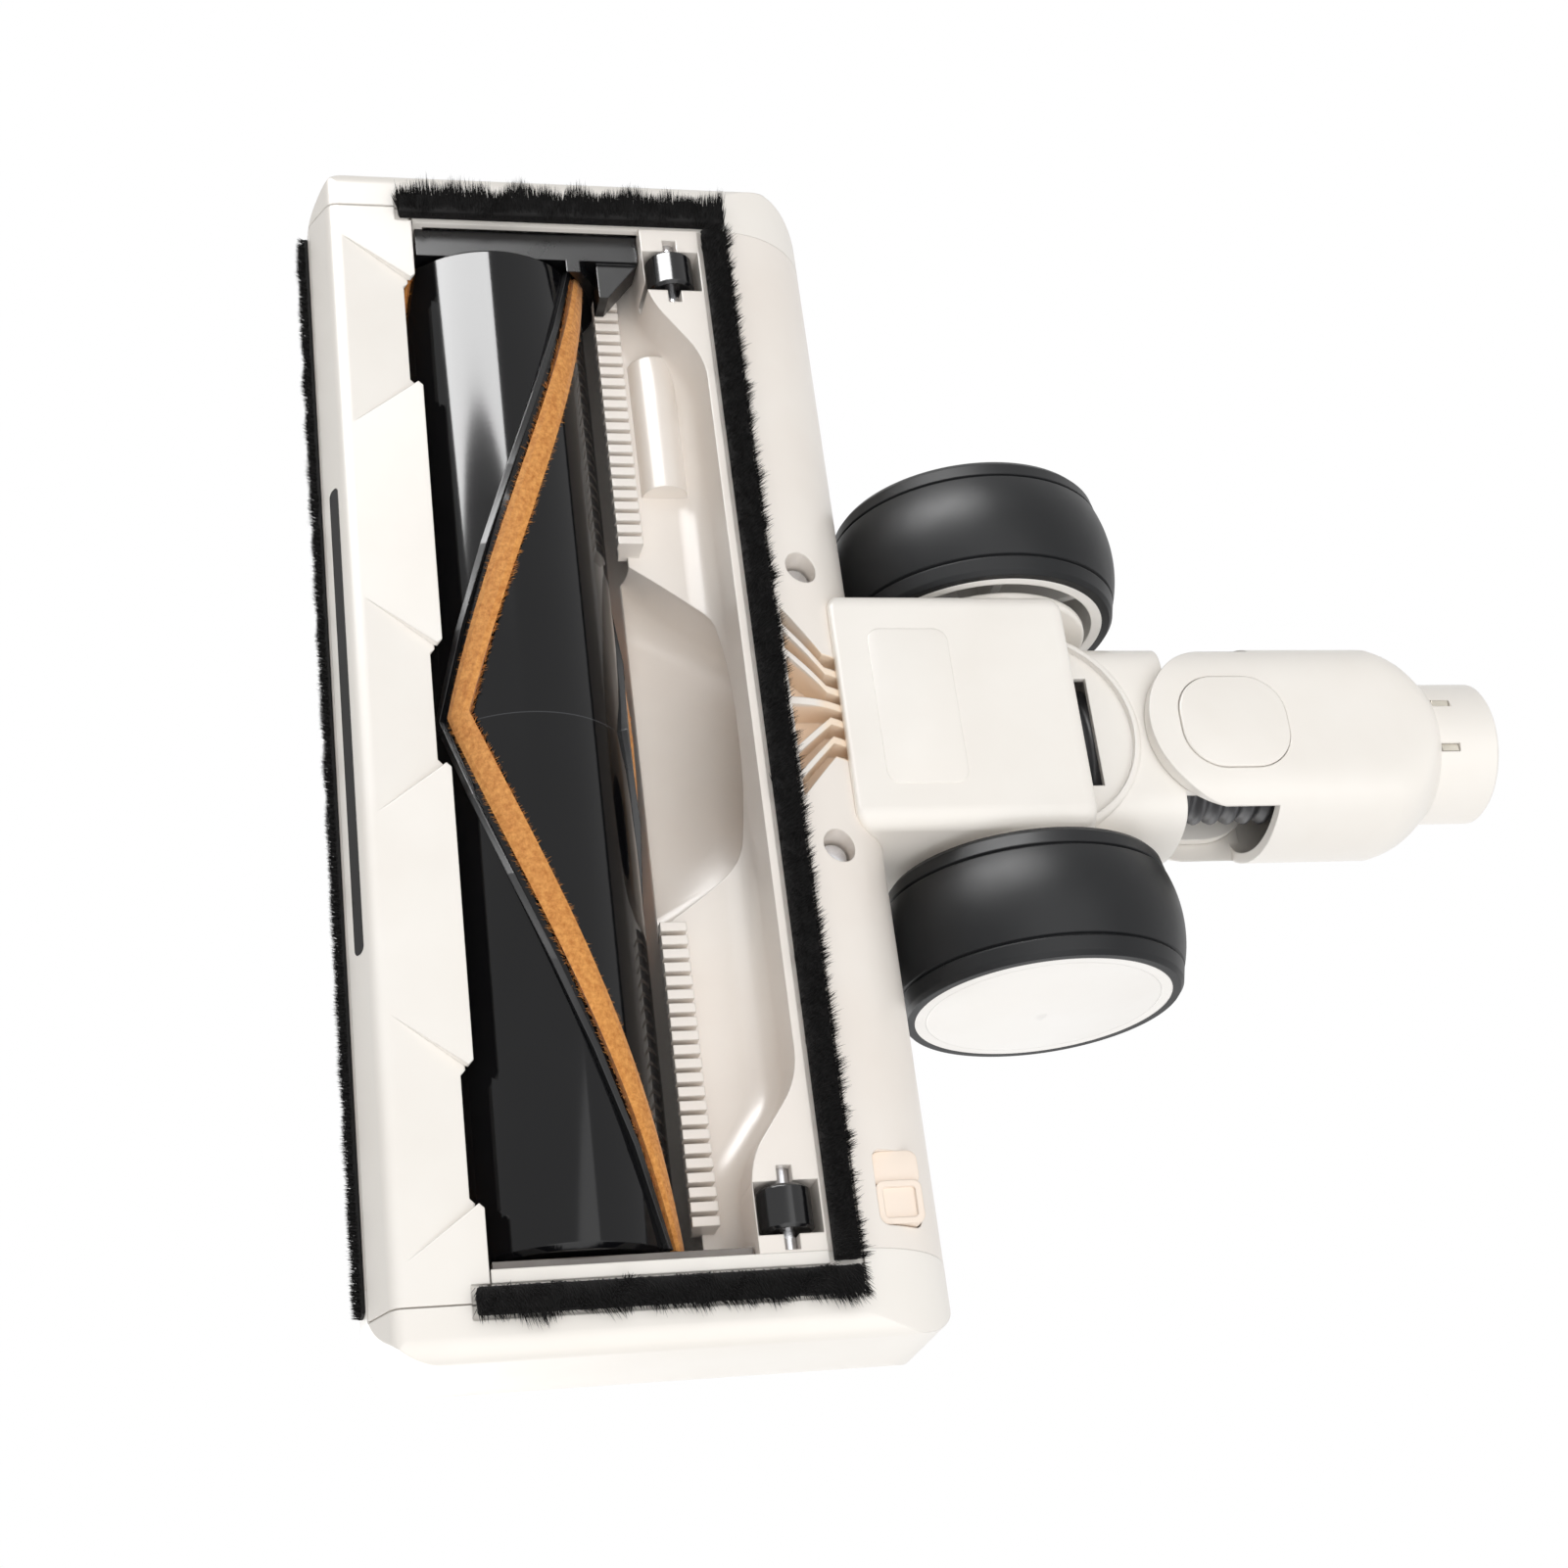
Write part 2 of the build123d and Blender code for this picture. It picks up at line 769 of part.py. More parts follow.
def chevron(turn, width, inner, outer):
    """One V-shaped strip: sections lofted along the roller, turning each way from its middle."""
    sections = []
    for index in range(-strip_stations, strip_stations + 1):
        x = roller_middle + roller_half * index / strip_stations
        angle = radians(strip_angle(x) + turn)
        outward = Vector(0, sin(angle), -cos(angle))
        origin = Vector(x, roller_y, roller_z) + outward * ((inner + outer) / 2)
        place = Plane(origin=origin, x_dir=outward, z_dir=(1, 0, 0))
        sections.append(place * Rectangle(outer - inner, width))
    return loft(sections, ruled=True)


def bristle_strips():
    base_radius = roller_radius - strip_depth
    turns = [360 / strip_count * index for index in range(strip_count)]
    return [chevron(turn, strip_width, base_radius, bristle_radius) for turn in turns]


def wiper_blades():
    base_radius = roller_radius - strip_depth
    lead = -blade_spacing / radians(roller_radius)
    turns = [360 / strip_count * index + lead for index in range(strip_count)]
    return [chevron(turn, blade_width, base_radius, roller_radius + blade_height) for turn in turns]


def roller_core(strips):
    near_tip = bearing_near
    far_tip = pulley_x + pulley_width
    body = turned(
        [
            (near_tip, 0),
            (near_tip, journal_radius),
            (roller_near, journal_radius),
            (roller_near, roller_radius - roller_chamfer),
            (roller_near + roller_chamfer, roller_radius),
            (roller_far - roller_chamfer, roller_radius),
            (roller_far, roller_radius - roller_chamfer),
            (roller_far, journal_radius),
            (far_tip, journal_radius),
            (far_tip, 0),
        ],
        roller_y,
        roller_z,
    )
    inner = roller_radius - roller_wall
    hollow = rod_x(roller_near + roller_wall, roller_far - roller_wall, roller_y, roller_z, inner)
    spindle = rod_x(roller_near, roller_far, roller_y, roller_z, journal_radius)
    holes = []
    hole_end = roller_near + roller_wall + overrun
    for index in range(strip_count):
        turn = radians(360 / strip_count * index)
        reach = (inner + journal_radius) / 2
        y = roller_y + reach * sin(turn)
        z = roller_z + reach * cos(turn)
        holes.append(rod_x(roller_near - overrun, hole_end, y, z, roller_hole_radius))
    return body - hollow + spindle - holes - strips


# Belt drive beside the roller
def pulley(y, z, radius, bore):
    flange = pulley_flange
    x0 = pulley_x
    x1 = pulley_x + pulley_width
    rim = radius + flange
    points = [(x0, bore), (x0, rim), (x0 + flange, rim), (x0 + flange, radius), (x1 - flange, radius)]
    points = points + [(x1 - flange, rim), (x1, rim), (x1, bore)]
    return turned(points, y, z)


def belt_face(grow):
    large = Pos(roller_y, roller_z) * Circle(roller_pulley_radius + grow)
    small = Pos(motor_y, motor_z) * Circle(motor_pulley_radius + grow)
    return make_hull(large.edges() + small.edges())


def drive_belt():
    x0 = pulley_x + pulley_flange + belt_gap
    x1 = pulley_x + pulley_width - pulley_flange - belt_gap
    return across(belt_face(belt_gap + belt_thickness), x0, x1) - across(belt_face(belt_gap), x0, x1)


def drive_cover():
    cover = (outer_form & far_cut) - (inner_form - bumper_room(shell_wall + seat_gap))
    return cover - bumper_room(seat_gap) - list(felt_grooves)


def motor():
    can = turned(
        [
            (motor_near, 0),
            (motor_near, motor_radius - motor_bell),
            (motor_near + motor_bell, motor_radius),
            (motor_far - motor_bell, motor_radius),
            (motor_far, motor_radius - motor_bell),
            (motor_far, 0),
        ],
        motor_y,
        motor_z,
    )
    bore = motor_shaft_radius + running_gap
    return can - rod_x(motor_far - shaft_depth, motor_far + overrun, motor_y, motor_z, bore)


def motor_pulley():
    tip = motor_far - shaft_depth + seat_gap
    shaft = rod_x(tip, pulley_x + pulley_width, motor_y, motor_z, motor_shaft_radius)
    return pulley(motor_y, motor_z, motor_pulley_radius, 0) + shaft


# Support rollers on steel pins
support_x = half_length - support_inset
support_z = support_ground_gap + support_radius


def support_pin():
    half = support_pin_length / 2
    return rod_x(support_x - half, support_x + half, support_y, support_z, support_pin_radius)


def support_roller():
    half = support_width / 2
    bore = support_pin_radius + running_gap
    rim = support_radius
    points = [
        (support_x - half, bore),
        (support_x - half, rim - support_chamfer),
        (support_x - half + support_chamfer, rim),
        (support_x + half - support_chamfer, rim),
        (support_x + half, rim - support_chamfer),
        (support_x + half, bore),
    ]
    return turned(points, support_y, support_z)


# Rear wheels
wheel_outer_x = wheel_inner_x + tyre_width
tyre_inner = tyre_radius - tyre_thickness
ring_inner = tyre_inner - rim_wall
web_outer_x = wheel_outer_x - 2 * rim_wall
web_inner_x = web_outer_x - rim_wall


def tyre():
    x0 = wheel_inner_x
    x1 = wheel_outer_x
    edge = tyre_radius - tyre_shoulder
    groove0 = x0 + tyre_groove_inset
    groove1 = x1 - tyre_groove_inset
    g = tyre_groove
    near = Polyline(
        (groove0 + g / 2, edge),
        (groove0, edge - g),
        (groove0 - g / 2, edge - g / 4),
        (x0 + tyre_edge, edge - g),
        (x0, edge - 2 * g),
        (x0, tyre_inner),
        (x1, tyre_inner),
        (x1, edge - 2 * g),
        (x1 - tyre_edge, edge - g),
        (groove1 + g / 2, edge - g / 4),
        (groove1, edge - g),
        (groove1 - g / 2, edge),
    )
    crown = ThreePointArc((groove0 + g / 2, edge), ((x0 + x1) / 2, tyre_radius), (groove1 - g / 2, edge))
    lathe = Plane(origin=(0, axle_y, axle_z), x_dir=(1, 0, 0), z_dir=(0, -1, 0))
    return revolve(lathe * make_face([near, crown]), Axis((0, axle_y, axle_z), (1, 0, 0)))


def rim():
    bore = axle_radius + running_gap
    hub_x = cradle_half + seat_gap
    body = turned(
        [
            (hub_x, bore),
            (hub_x, hub_radius),
            (web_inner_x, hub_radius),
            (web_inner_x, ring_inner),
            (wheel_inner_x, ring_inner),
            (wheel_inner_x, tyre_inner),
            (wheel_outer_x, tyre_inner),
            (wheel_outer_x, ring_inner),
            (web_outer_x, ring_inner),
            (web_outer_x, bore),
        ],
        axle_y,
        axle_z,
    )
    half = spoke_width / 2
    low = hub_radius - spoke_root
    high = ring_inner + spoke_root
    spoke = block(wheel_inner_x + 2 * rim_wall, web_inner_x, -half, half, low, high)
    for index in range(spoke_count):
        body = body + Pos(0, axle_y, axle_z) * Rot(360 / spoke_count * index, 0, 0) * spoke
    return body


def wheel_cap():
    """Domed cap that snaps into the rim."""
    back = wheel_outer_x - rim_wall
    skirt = ring_inner - rim_wall
    crest = wheel_outer_x + wheel_cap_dome
    dome_radius = (ring_inner**2 + wheel_cap_dome**2) / (2 * wheel_cap_dome)
    half_angle = asin(ring_inner / dome_radius) / 2
    middle = (crest - dome_radius * (1 - cos(half_angle)), dome_radius * sin(half_angle))
    dome = ThreePointArc((wheel_outer_x, ring_inner), middle, (crest, 0))
    inside = Polyline(
        (crest, 0),
        (back, 0),
        (back, skirt),
        (web_outer_x, skirt),
        (web_outer_x, ring_inner),
        (wheel_outer_x, ring_inner),
    )
    lathe = Plane(origin=(0, axle_y, axle_z), x_dir=(1, 0, 0), z_dir=(0, -1, 0))
    return revolve(lathe * make_face([inside, dome]), Axis((0, axle_y, axle_z), (1, 0, 0)))


def axle():
    tip = ball_half - ball_side_wall + seat_gap
    seat = web_outer_x + seat_gap
    head = seat + rim_wall / 2
    pin = rod_x(tip, seat, axle_y, axle_z, axle_radius)
    return pin + rod_x(seat, head, axle_y, axle_z, axle_head_radius)


# Neck: ball-ended elbow, swivelling connector tube, hose
foot_z = neck_z - ball_foot


def both_sides(shape):
    """A piece and its copy mirrored in the neck's level plane."""
    return [shape, mirror(shape, about=Plane.XY.offset(neck_z))]


def neck_elbow():
    half = ball_half
    ball = Pos(0, axle_y, axle_z) * Sphere(ball_radius)
    ball = ball & block(-half, half, axle_y - ball_front, beyond, foot_z, beyond)
    link = rod_y(0, axle_y, axle_y + link_reach, neck_z, link_radius)
    link = link & block(-beyond, beyond, 0, beyond, foot_z, neck_z + ball_foot)
    ear_tip = (Pos(0, pivot_y) * Circle(ear_radius)).edges()
    ear_root = (Pos(0, axle_y + link_reach - link_wall) * Circle(ear_radius)).edges()
    ears = both_sides(upright(make_hull(ear_tip + ear_root), foot_z, foot_z + ear_thickness))
    inner_half = half - ball_side_wall
    inner_foot = foot_z + foot_recess + foot_wall
    inside = Pos(0, axle_y, axle_z) * Sphere(ball_radius - ball_wall)
    inside = inside & block(-inner_half, inner_half, 0, beyond, inner_foot, beyond)
    bore = rod_y(0, axle_y, axle_y + link_reach + overrun, neck_z, link_radius - link_wall)
    inner_roof = neck_z + ball_foot - ear_thickness
    bore = bore & block(-beyond, beyond, 0, beyond, foot_z + ear_thickness, inner_roof)
    slot_front = axle_y - ball_front - overrun
    slot = block(-foot_slot_half, foot_slot_half, slot_front, axle_y + foot_slot_reach, 0, neck_z)
    recess = rod_z(0, axle_y, 0, foot_z + foot_recess, foot_recess_radius)
    elbow = ball + link + ears
    elbow = elbow - inside - bore - slot - recess
    elbow = elbow - rod_x(-beyond, beyond, axle_y, axle_z, axle_radius + running_gap)
    return elbow - rod_z(0, pivot_y, 0, beyond, pivot_pin_radius + running_gap)


def fork_face():
    return neck_z - link_radius


def pivot_cap_plan():
    return Pos(0, pivot_y) * RectangleRounded(pivot_cap_width, pivot_cap_length, pivot_cap_round)


def connector_tube():
    outline = Polyline(
        (tube_shoulder_end, spigot_radius),
        (spigot_end, spigot_radius),
        (spigot_end, spigot_radius - spigot_wall),
        (tube_body_end, duct_radius),
        (hose_rear, duct_radius),
        (hose_rear, socket_radius),
        (hose_rear - hose_seat, socket_radius),
        (hose_rear - hose_seat - hose_seat_taper, link_radius - link_wall),
        (tube_front, link_radius - link_wall),
        (tube_front, link_radius),
        (tube_body_end, link_radius),
    )
    run = tube_shoulder_end - tube_body_end
    drop = link_radius - spigot_radius
    eighth = radians(45)
    bow = (tube_body_end + run * sin(eighth), link_radius - drop * (1 - cos(eighth)))
    shoulder = ThreePointArc((tube_body_end, link_radius), bow, (tube_shoulder_end, spigot_radius))
    lathe = Plane(origin=(0, 0, neck_z), x_dir=(0, 1, 0), z_dir=(1, 0, 0))
    tube = revolve(lathe * make_face([outline, shoulder]), Axis((0, 0, neck_z), (0, 1, 0)))
    front_disc = (Pos(0, pivot_y) * Circle(fork_radius)).edges()
    rear_disc = (Pos(0, tube_front + link_wall) * Circle(fork_root_radius)).edges()
    leg_top = foot_z - fork_gap
    leg = upright(make_hull(front_disc + rear_disc), leg_top - fork_thickness, leg_top)
    ear_room = rod_z(0, pivot_y, leg_top, 2 * neck_z - leg_top, ear_radius + ear_gap)
    cap_room = upright(pivot_cap_plan(), 0, fork_face() + cap_seat)
    tube = tube - ear_room + both_sides(leg) - both_sides(cap_room)
    return tube - rod_z(0, pivot_y, 0, beyond, pivot_pin_radius) - contact_pins(overrun)


def pivot_cap():
    cap = upright(pivot_cap_plan(), fork_face() - pivot_cap_rise, fork_face() + cap_seat)
    return fillet(cap.edges().group_by(Axis.Z)[0], pivot_cap_rise / 2)


def pivot_pin():
    inner = foot_z + ear_thickness
    pin = rod_z(0, pivot_y, fork_face() + cap_seat, inner + seat_gap, pivot_pin_radius)
    return pin + rod_z(0, pivot_y, inner + seat_gap, inner + seat_gap + pivot_flange, pivot_flange_radius)


def contact_pins(drop):
    """Two contacts let into the underside of the spigot, or their slots when lengthened downward."""
    y0 = tube_shoulder_end
    reach = (contact_spacing + contact_width) / 2
    z0 = neck_z - (spigot_radius**2 - reach**2) ** 0.5
    half = contact_width / 2
    pins = []
    for side in (-1, 1):
        x = side * contact_spacing / 2
        pins.append(block(x - half, x + half, y0, y0 + contact_length, z0 - drop, z0 + contact_depth))
    return pins


def hose():
    crest = hose_radius
    valley = hose_radius - hose_rib_depth
    first = hose_front + hose_socket_depth
    last = hose_rear - hose_seat
    count = int((last - first) // hose_rib_pitch)
    pitch = (last - first) / count
    points = [(hose_front, crest - hose_rib_depth - hose_wall), (hose_front, crest), (first, crest)]
    for index in range(count):
        y = first + index * pitch
        points.append((y + pitch * 0.25, valley))
        points.append((y + pitch * 0.5, valley))
        points.append((y + pitch * 0.75, crest))
        points.append((y + pitch, crest))
    points.append((hose_rear, crest))
    points.append((hose_rear, crest - hose_rib_depth - hose_wall))
    lathe = Plane(origin=(0, 0, neck_z), x_dir=(0, 1, 0), z_dir=(1, 0, 0))
    return revolve(lathe * make_face(Polyline(*points, close=True)), Axis((0, 0, neck_z), (0, 1, 0)))


# Screws in the two wells
screw_seat = pile_height + well_depth
screw_tip = screw_seat + screw_shank_length


def housing_screws():
    screws = []
    for side in (-1, 1):
        x = side * well_x
        screw = rod_z(x, well_y, screw_seat - screw_head_height, screw_seat, screw_head_radius)
        screws.append(screw + rod_z(x, well_y, screw_seat, screw_tip, screw_shank_radius))
    return screws


def group(shapes):
    return Compound(children=list(shapes))


os.makedirs("parts", exist_ok=True)
near_felt, far_felt, rear_felt = felt_seat(0, felt_top)
bristles = bristle_strips()
blades = wiper_blades()
lower_cap = pivot_cap()
lower_pin = pivot_pin()
pieces = {
    "base_housing": base_housing(),
    "top_cover": top_cover(),
    "front_bumper": front_bumper(),
    "front_strip": front_strip(),
    "light_window": window(),
    "led_board": led_board(),
    "left_felt": near_felt,
    "right_felt": far_felt,
    "rear_felt": rear_felt,
    "end_cap": end_cap(),
    "bearing_plate": bearing_plate(),
    "roller_bearing": roller_bearing(),
    "drive_bracket": drive_bracket(),
    "drive_cover": drive_cover(),
    "latch_slider": latch_slider(),
    "latch_spring": latch_spring(),
    "roller_core": roller_core(bristles + blades),
    "roller_pulley": pulley(roller_y, roller_z, roller_pulley_radius, journal_radius),
    "motor": motor(),
    "motor_pulley": motor_pulley(),
    "drive_belt": drive_belt(),
    "support_roller_right": support_roller(),
    "support_pin_right": support_pin(),
    "tyre_right": tyre(),
    "rim_right": rim(),
    "wheel_cap_right": wheel_cap(),
    "axle_right": axle(),
    "neck_base": neck_cradle(),
    "neck_elbow": neck_elbow(),
    "connector_tube": connector_tube(),
    "pivot_cap_lower": lower_cap,
    "pivot_pin_lower": lower_pin,
    "contact_pins": group(contact_pins(0)),
    "hose": hose(),
    "housing_screws": group(housing_screws()),
}
for index in range(strip_count):
    pieces["bristle_strip_" + str(index + 1)] = bristles[index]
    pieces["wiper_blade_" + str(index + 1)] = blades[index]
for name in ("support_roller", "support_pin", "tyre", "rim", "wheel_cap", "axle"):
    pieces[name + "_left"] = mirrored(pieces[name + "_right"])
pieces["pivot_cap_upper"] = both_sides(lower_cap)[1]
pieces["pivot_pin_upper"] = both_sides(lower_pin)[1]
for name, shape in pieces.items():
    save(name, shape)
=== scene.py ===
import bpy
import json
import math
import numpy as np
from mathutils import Matrix, Vector


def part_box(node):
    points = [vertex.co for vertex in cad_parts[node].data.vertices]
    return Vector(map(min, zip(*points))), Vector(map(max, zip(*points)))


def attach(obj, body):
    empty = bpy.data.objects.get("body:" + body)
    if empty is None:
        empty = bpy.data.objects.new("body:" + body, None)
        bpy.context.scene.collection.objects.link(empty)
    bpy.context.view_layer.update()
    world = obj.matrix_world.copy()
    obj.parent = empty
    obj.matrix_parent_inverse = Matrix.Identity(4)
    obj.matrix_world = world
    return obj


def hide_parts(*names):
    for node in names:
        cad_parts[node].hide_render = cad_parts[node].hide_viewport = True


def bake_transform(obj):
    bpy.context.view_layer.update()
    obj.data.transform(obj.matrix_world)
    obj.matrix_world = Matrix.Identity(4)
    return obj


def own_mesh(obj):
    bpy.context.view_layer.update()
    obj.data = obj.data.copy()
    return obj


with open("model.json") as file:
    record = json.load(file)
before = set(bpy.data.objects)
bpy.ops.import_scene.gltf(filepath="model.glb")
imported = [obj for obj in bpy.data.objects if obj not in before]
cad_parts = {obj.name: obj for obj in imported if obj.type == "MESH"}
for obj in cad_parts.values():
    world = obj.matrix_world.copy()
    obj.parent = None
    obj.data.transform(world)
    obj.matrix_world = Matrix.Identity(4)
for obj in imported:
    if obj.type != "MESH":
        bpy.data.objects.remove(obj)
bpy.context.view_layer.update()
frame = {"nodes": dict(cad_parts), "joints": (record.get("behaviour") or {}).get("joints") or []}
nodes = frame["nodes"]
scene = bpy.context.scene
MM = 0.001
FULL_TURN = 2 * math.pi
rng = np.random.default_rng(7)


# Handling of pieces


def clear_selection():
    if bpy.context.object and bpy.context.object.mode != "OBJECT":
        bpy.ops.object.mode_set(mode="OBJECT")
    bpy.ops.object.select_all(action="DESELECT")


def pick(piece):
    """Selects one piece alone and makes it the active one."""
    clear_selection()
    piece.select_set(True)
    bpy.context.view_layer.objects.active = piece


def shape_with(piece, kind, **settings):
    """Puts a modifier on a piece and applies it."""
    pick(piece)
    step = piece.modifiers.new("step", kind)
    for name, value in settings.items():
        setattr(step, name, value)
    bpy.ops.object.modifier_apply(modifier="step")
    clear_selection()


def drop(piece):
    mesh = piece.data
    bpy.data.objects.remove(piece)
    bpy.data.meshes.remove(mesh)


def link_mesh(name, mesh):
    piece = bpy.data.objects.new(name, mesh)
    scene.collection.objects.link(piece)
    return piece


def dress_in(piece, material):
    piece.data.materials.clear()
    piece.data.materials.append(material)


# Materials
CLOUD_SCALE = 35.0
SMEAR_SCALE = 90.0
GRAIN_SCALE = 1400.0
GRAIN_DEPTH = 0.1 * MM
DARK_SHARE, PALE_SHARE = 0.3, 0.7
SEAM_SOFT = 0.25 * MM
SEAM_TONE = (70, 71, 74)


def new_material(name):
    material = bpy.data.materials.new(name)
    material.use_nodes = True
    tree = material.node_tree
    shader = tree.nodes["Principled BSDF"]
    return material, tree, shader


def object_coords(tree):
    return tree.nodes.new("ShaderNodeTexCoord").outputs["Object"]


def noise(tree, coords, scale, detail=4.0, rough=0.55):
    node = tree.nodes.new("ShaderNodeTexNoise")
    node.inputs["Scale"].default_value = scale
    node.inputs["Detail"].default_value = detail
    node.inputs["Roughness"].default_value = rough
    tree.links.new(coords, node.inputs["Vector"])
    return node.outputs["Fac"]


def ramp(tree, value, stops):
    node = tree.nodes.new("ShaderNodeValToRGB")
    points = node.color_ramp.elements
    while len(points) < len(stops):
        points.new(0.5)
    for point, (place, colour) in zip(points, stops):
        point.position = place
        point.color = (*colour, 1.0)
    tree.links.new(value, node.inputs["Fac"])
    return node.outputs["Color"]


def two_tone(tree, value, dark, pale):
    return ramp(tree, value, [(DARK_SHARE, dark), (PALE_SHARE, pale)])


def spread(tree, value, low, high, start=0.0, end=1.0):
    node = tree.nodes.new("ShaderNodeMapRange")
    node.inputs["From Min"].default_value = start
    node.inputs["From Max"].default_value = end
    node.inputs["To Min"].default_value = low
    node.inputs["To Max"].default_value = high
    tree.links.new(value, node.inputs["Value"])
    return node.outputs["Result"]


def reckon(tree, operation, *values):
    """One step of arithmetic on shader values."""
    node = tree.nodes.new("ShaderNodeMath")
    node.operation = operation
    for value, socket in zip(values, node.inputs):
        tree.links.new(value, socket)
    return node


def times(tree, first, second):
    return reckon(tree, "MULTIPLY", first, second).outputs[0]


def axis_values(tree, coords):
    split = tree.nodes.new("ShaderNodeSeparateXYZ")
    tree.links.new(coords, split.inputs[0])
    return split.outputs


def blend_colour(tree, factor, first, second):
    node = tree.nodes.new("ShaderNodeMix")
    node.data_type = "RGBA"
    tree.links.new(factor, node.inputs["Factor"])
    tree.links.new(first, node.inputs[6])
    tree.links.new(second, node.inputs[7])
    return node.outputs[2]


def relief(tree, shader, height, strength, distance, edge=0.0):
    """Fine bumps, over edges that catch the light as if rounded."""
    bump = tree.nodes.new("ShaderNodeBump")
    bump.inputs["Strength"].default_value = strength
    bump.inputs["Distance"].default_value = distance
    tree.links.new(height, bump.inputs["Height"])
    if edge:
        soft = tree.nodes.new("ShaderNodeBevel")
        soft.samples = 6
        soft.inputs["Radius"].default_value = edge
        tree.links.new(soft.outputs["Normal"], bump.inputs["Normal"])
    tree.links.new(bump.outputs["Normal"], shader.inputs["Normal"])


def linear(rgb):
    """Colour as written on a 0 to 255 scale, turned to linear light."""
    shares = (c / 255 for c in rgb)
    return tuple(c / 12.92 if c <= 0.04045 else ((c + 0.055) / 1.055) ** 2.4 for c in shares)


def moulded(name, pale, shade, roughness, edge=0.5 * MM, grain=0.02, ior=1.5,
            shade_patch=None, line_x=None):
    """Injection-moulded plastic: faint cloudiness, uneven gloss, fine grain, rounded edges.

    A shade patch is a recessed region given its own warmer, darker tone as painted shade; a line
    is a mould line round the piece."""
    material, tree, shader = new_material(name)
    coords = object_coords(tree)
    cloud = noise(tree, coords, CLOUD_SCALE, detail=3.0)
    colour = two_tone(tree, cloud, linear(shade), linear(pale))
    # painted shade: the region the patch picks out gets a warmer, darker tone in place of the
    # shade that falls there
    if shade_patch:
        region, dark, light = shade_patch
        tone = two_tone(tree, cloud, linear(dark), linear(light))
        colour = blend_colour(tree, region(tree, coords), colour, tone)
    smear = noise(tree, coords, SMEAR_SCALE, detail=5.0)
    gloss = spread(tree, smear, roughness * 0.8, roughness * 1.25)
    tree.links.new(gloss, shader.inputs["Roughness"])
    if line_x is not None:
        x = axis_values(tree, coords)[0]
        rise = spread(tree, x, 0.0, 1.0, line_x - SEAM_SOFT, line_x)
        fall = spread(tree, x, 1.0, 0.0, line_x, line_x + SEAM_SOFT)
        seam = times(tree, rise, fall)
        seam_tone = ramp(tree, seam, [(0.0, linear(shade)), (1.0, linear(SEAM_TONE))])
        colour = blend_colour(tree, seam, colour, seam_tone)
    tree.links.new(colour, shader.inputs["Base Color"])
    height = noise(tree, coords, GRAIN_SCALE, detail=2.0)
    relief(tree, shader, height, grain, GRAIN_DEPTH, edge)
    shader.inputs["IOR"].default_value = ior
    return material


def metal(name, colour, roughness):
    material, tree, shader = new_material(name)
    coords = object_coords(tree)
    shader.inputs["Metallic"].default_value = 1.0
    tint = noise(tree, coords, scale=300.0)
    tone = two_tone(tree, tint, tuple(c * 0.8 for c in colour), colour)
    tree.links.new(tone, shader.inputs["Base Color"])
    gloss = spread(tree, tint, roughness * 0.7, roughness * 1.4)
    tree.links.new(gloss, shader.inputs["Roughness"])
    height = noise(tree, coords, scale=2500.0, detail=2.0)
    relief(tree, shader, height, strength=0.03, distance=GRAIN_DEPTH, edge=0.2 * MM)
    return material


def fibre(name, dark, pale, scale, roughness, sheen):
    """Pile: each clump of fibres has its own tone."""
    material, tree, shader = new_material(name)
    coords = object_coords(tree)
    clump = noise(tree, coords, scale, detail=6.0, rough=0.75)
    tone = ramp(tree, clump, [(0.32, linear(dark)), (0.68, linear(pale))])
    tree.links.new(tone, shader.inputs["Base Color"])
    shader.inputs["Roughness"].default_value = roughness
    shader.inputs["Sheen Weight"].default_value = sheen
    shader.inputs["Sheen Roughness"].default_value = 0.5
    shader.inputs["Specular IOR Level"].default_value = 0.2
    height = noise(tree, coords, scale=3000.0, detail=2.0)
    relief(tree, shader, height, strength=0.15, distance=0.2 * MM)
    return material


def clear_plastic():
    material, tree, shader = new_material("clear_plate")
    coords = object_coords(tree)
    tint = noise(tree, coords, scale=120.0, detail=3.0)
    tone = two_tone(tree, tint, linear((150, 140, 132)), linear((176, 166, 158)))
    tree.links.new(tone, shader.inputs["Base Color"])
    shader.inputs["Roughness"].default_value = 0.12
    shader.inputs["Transmission Weight"].default_value = 0.55
    height = noise(tree, coords, scale=900.0, detail=2.0)
    relief(tree, shader, height, strength=0.03, distance=GRAIN_DEPTH, edge=0.2 * MM)
    return material


# Painted shade in the vent slots between the rear felt and the cradle
felt_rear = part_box("rear_felt")[1].y
cradle_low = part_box("neck_base")[0]
VENT_OUTER = 22.2 * MM
VENT_INNER = 12.2 * MM
VENT_EDGE = 0.1 * MM
VENT_DEPTH = 4.5 * MM
VENT_FADE = 1.0 * MM
VENT_PAST_CRADLE = 3.0 * MM
VENT_BEND = 3.0 * MM


def vent_shade_mask(tree, coords):
    """Mask of painted shade: the slots' walls and floors deeper than VENT_DEPTH, which fan out
    from the neck toward the rear felt.
    """
    x, y, z = axis_values(tree, coords)
    off = reckon(tree, "ABSOLUTE", x).outputs[0]
    half_width = spread(tree, y, VENT_OUTER, VENT_INNER, felt_rear, cradle_low.y - VENT_BEND)
    spare = reckon(tree, "SUBTRACT", half_width, off).outputs[0]
    beside = spread(tree, spare, 0.0, 1.0, -VENT_EDGE, VENT_EDGE)
    stop = cradle_low.y + VENT_PAST_CRADLE
    along = times(
        tree,
        spread(tree, y, 0.0, 1.0, felt_rear, felt_rear + VENT_FADE),
        spread(tree, y, 1.0, 0.0, stop, stop + VENT_FADE),
    )
    deep = spread(tree, z, 0.0, 1.0, VENT_DEPTH, VENT_DEPTH + VENT_FADE)
    return times(tree, times(tree, beside, along), deep)
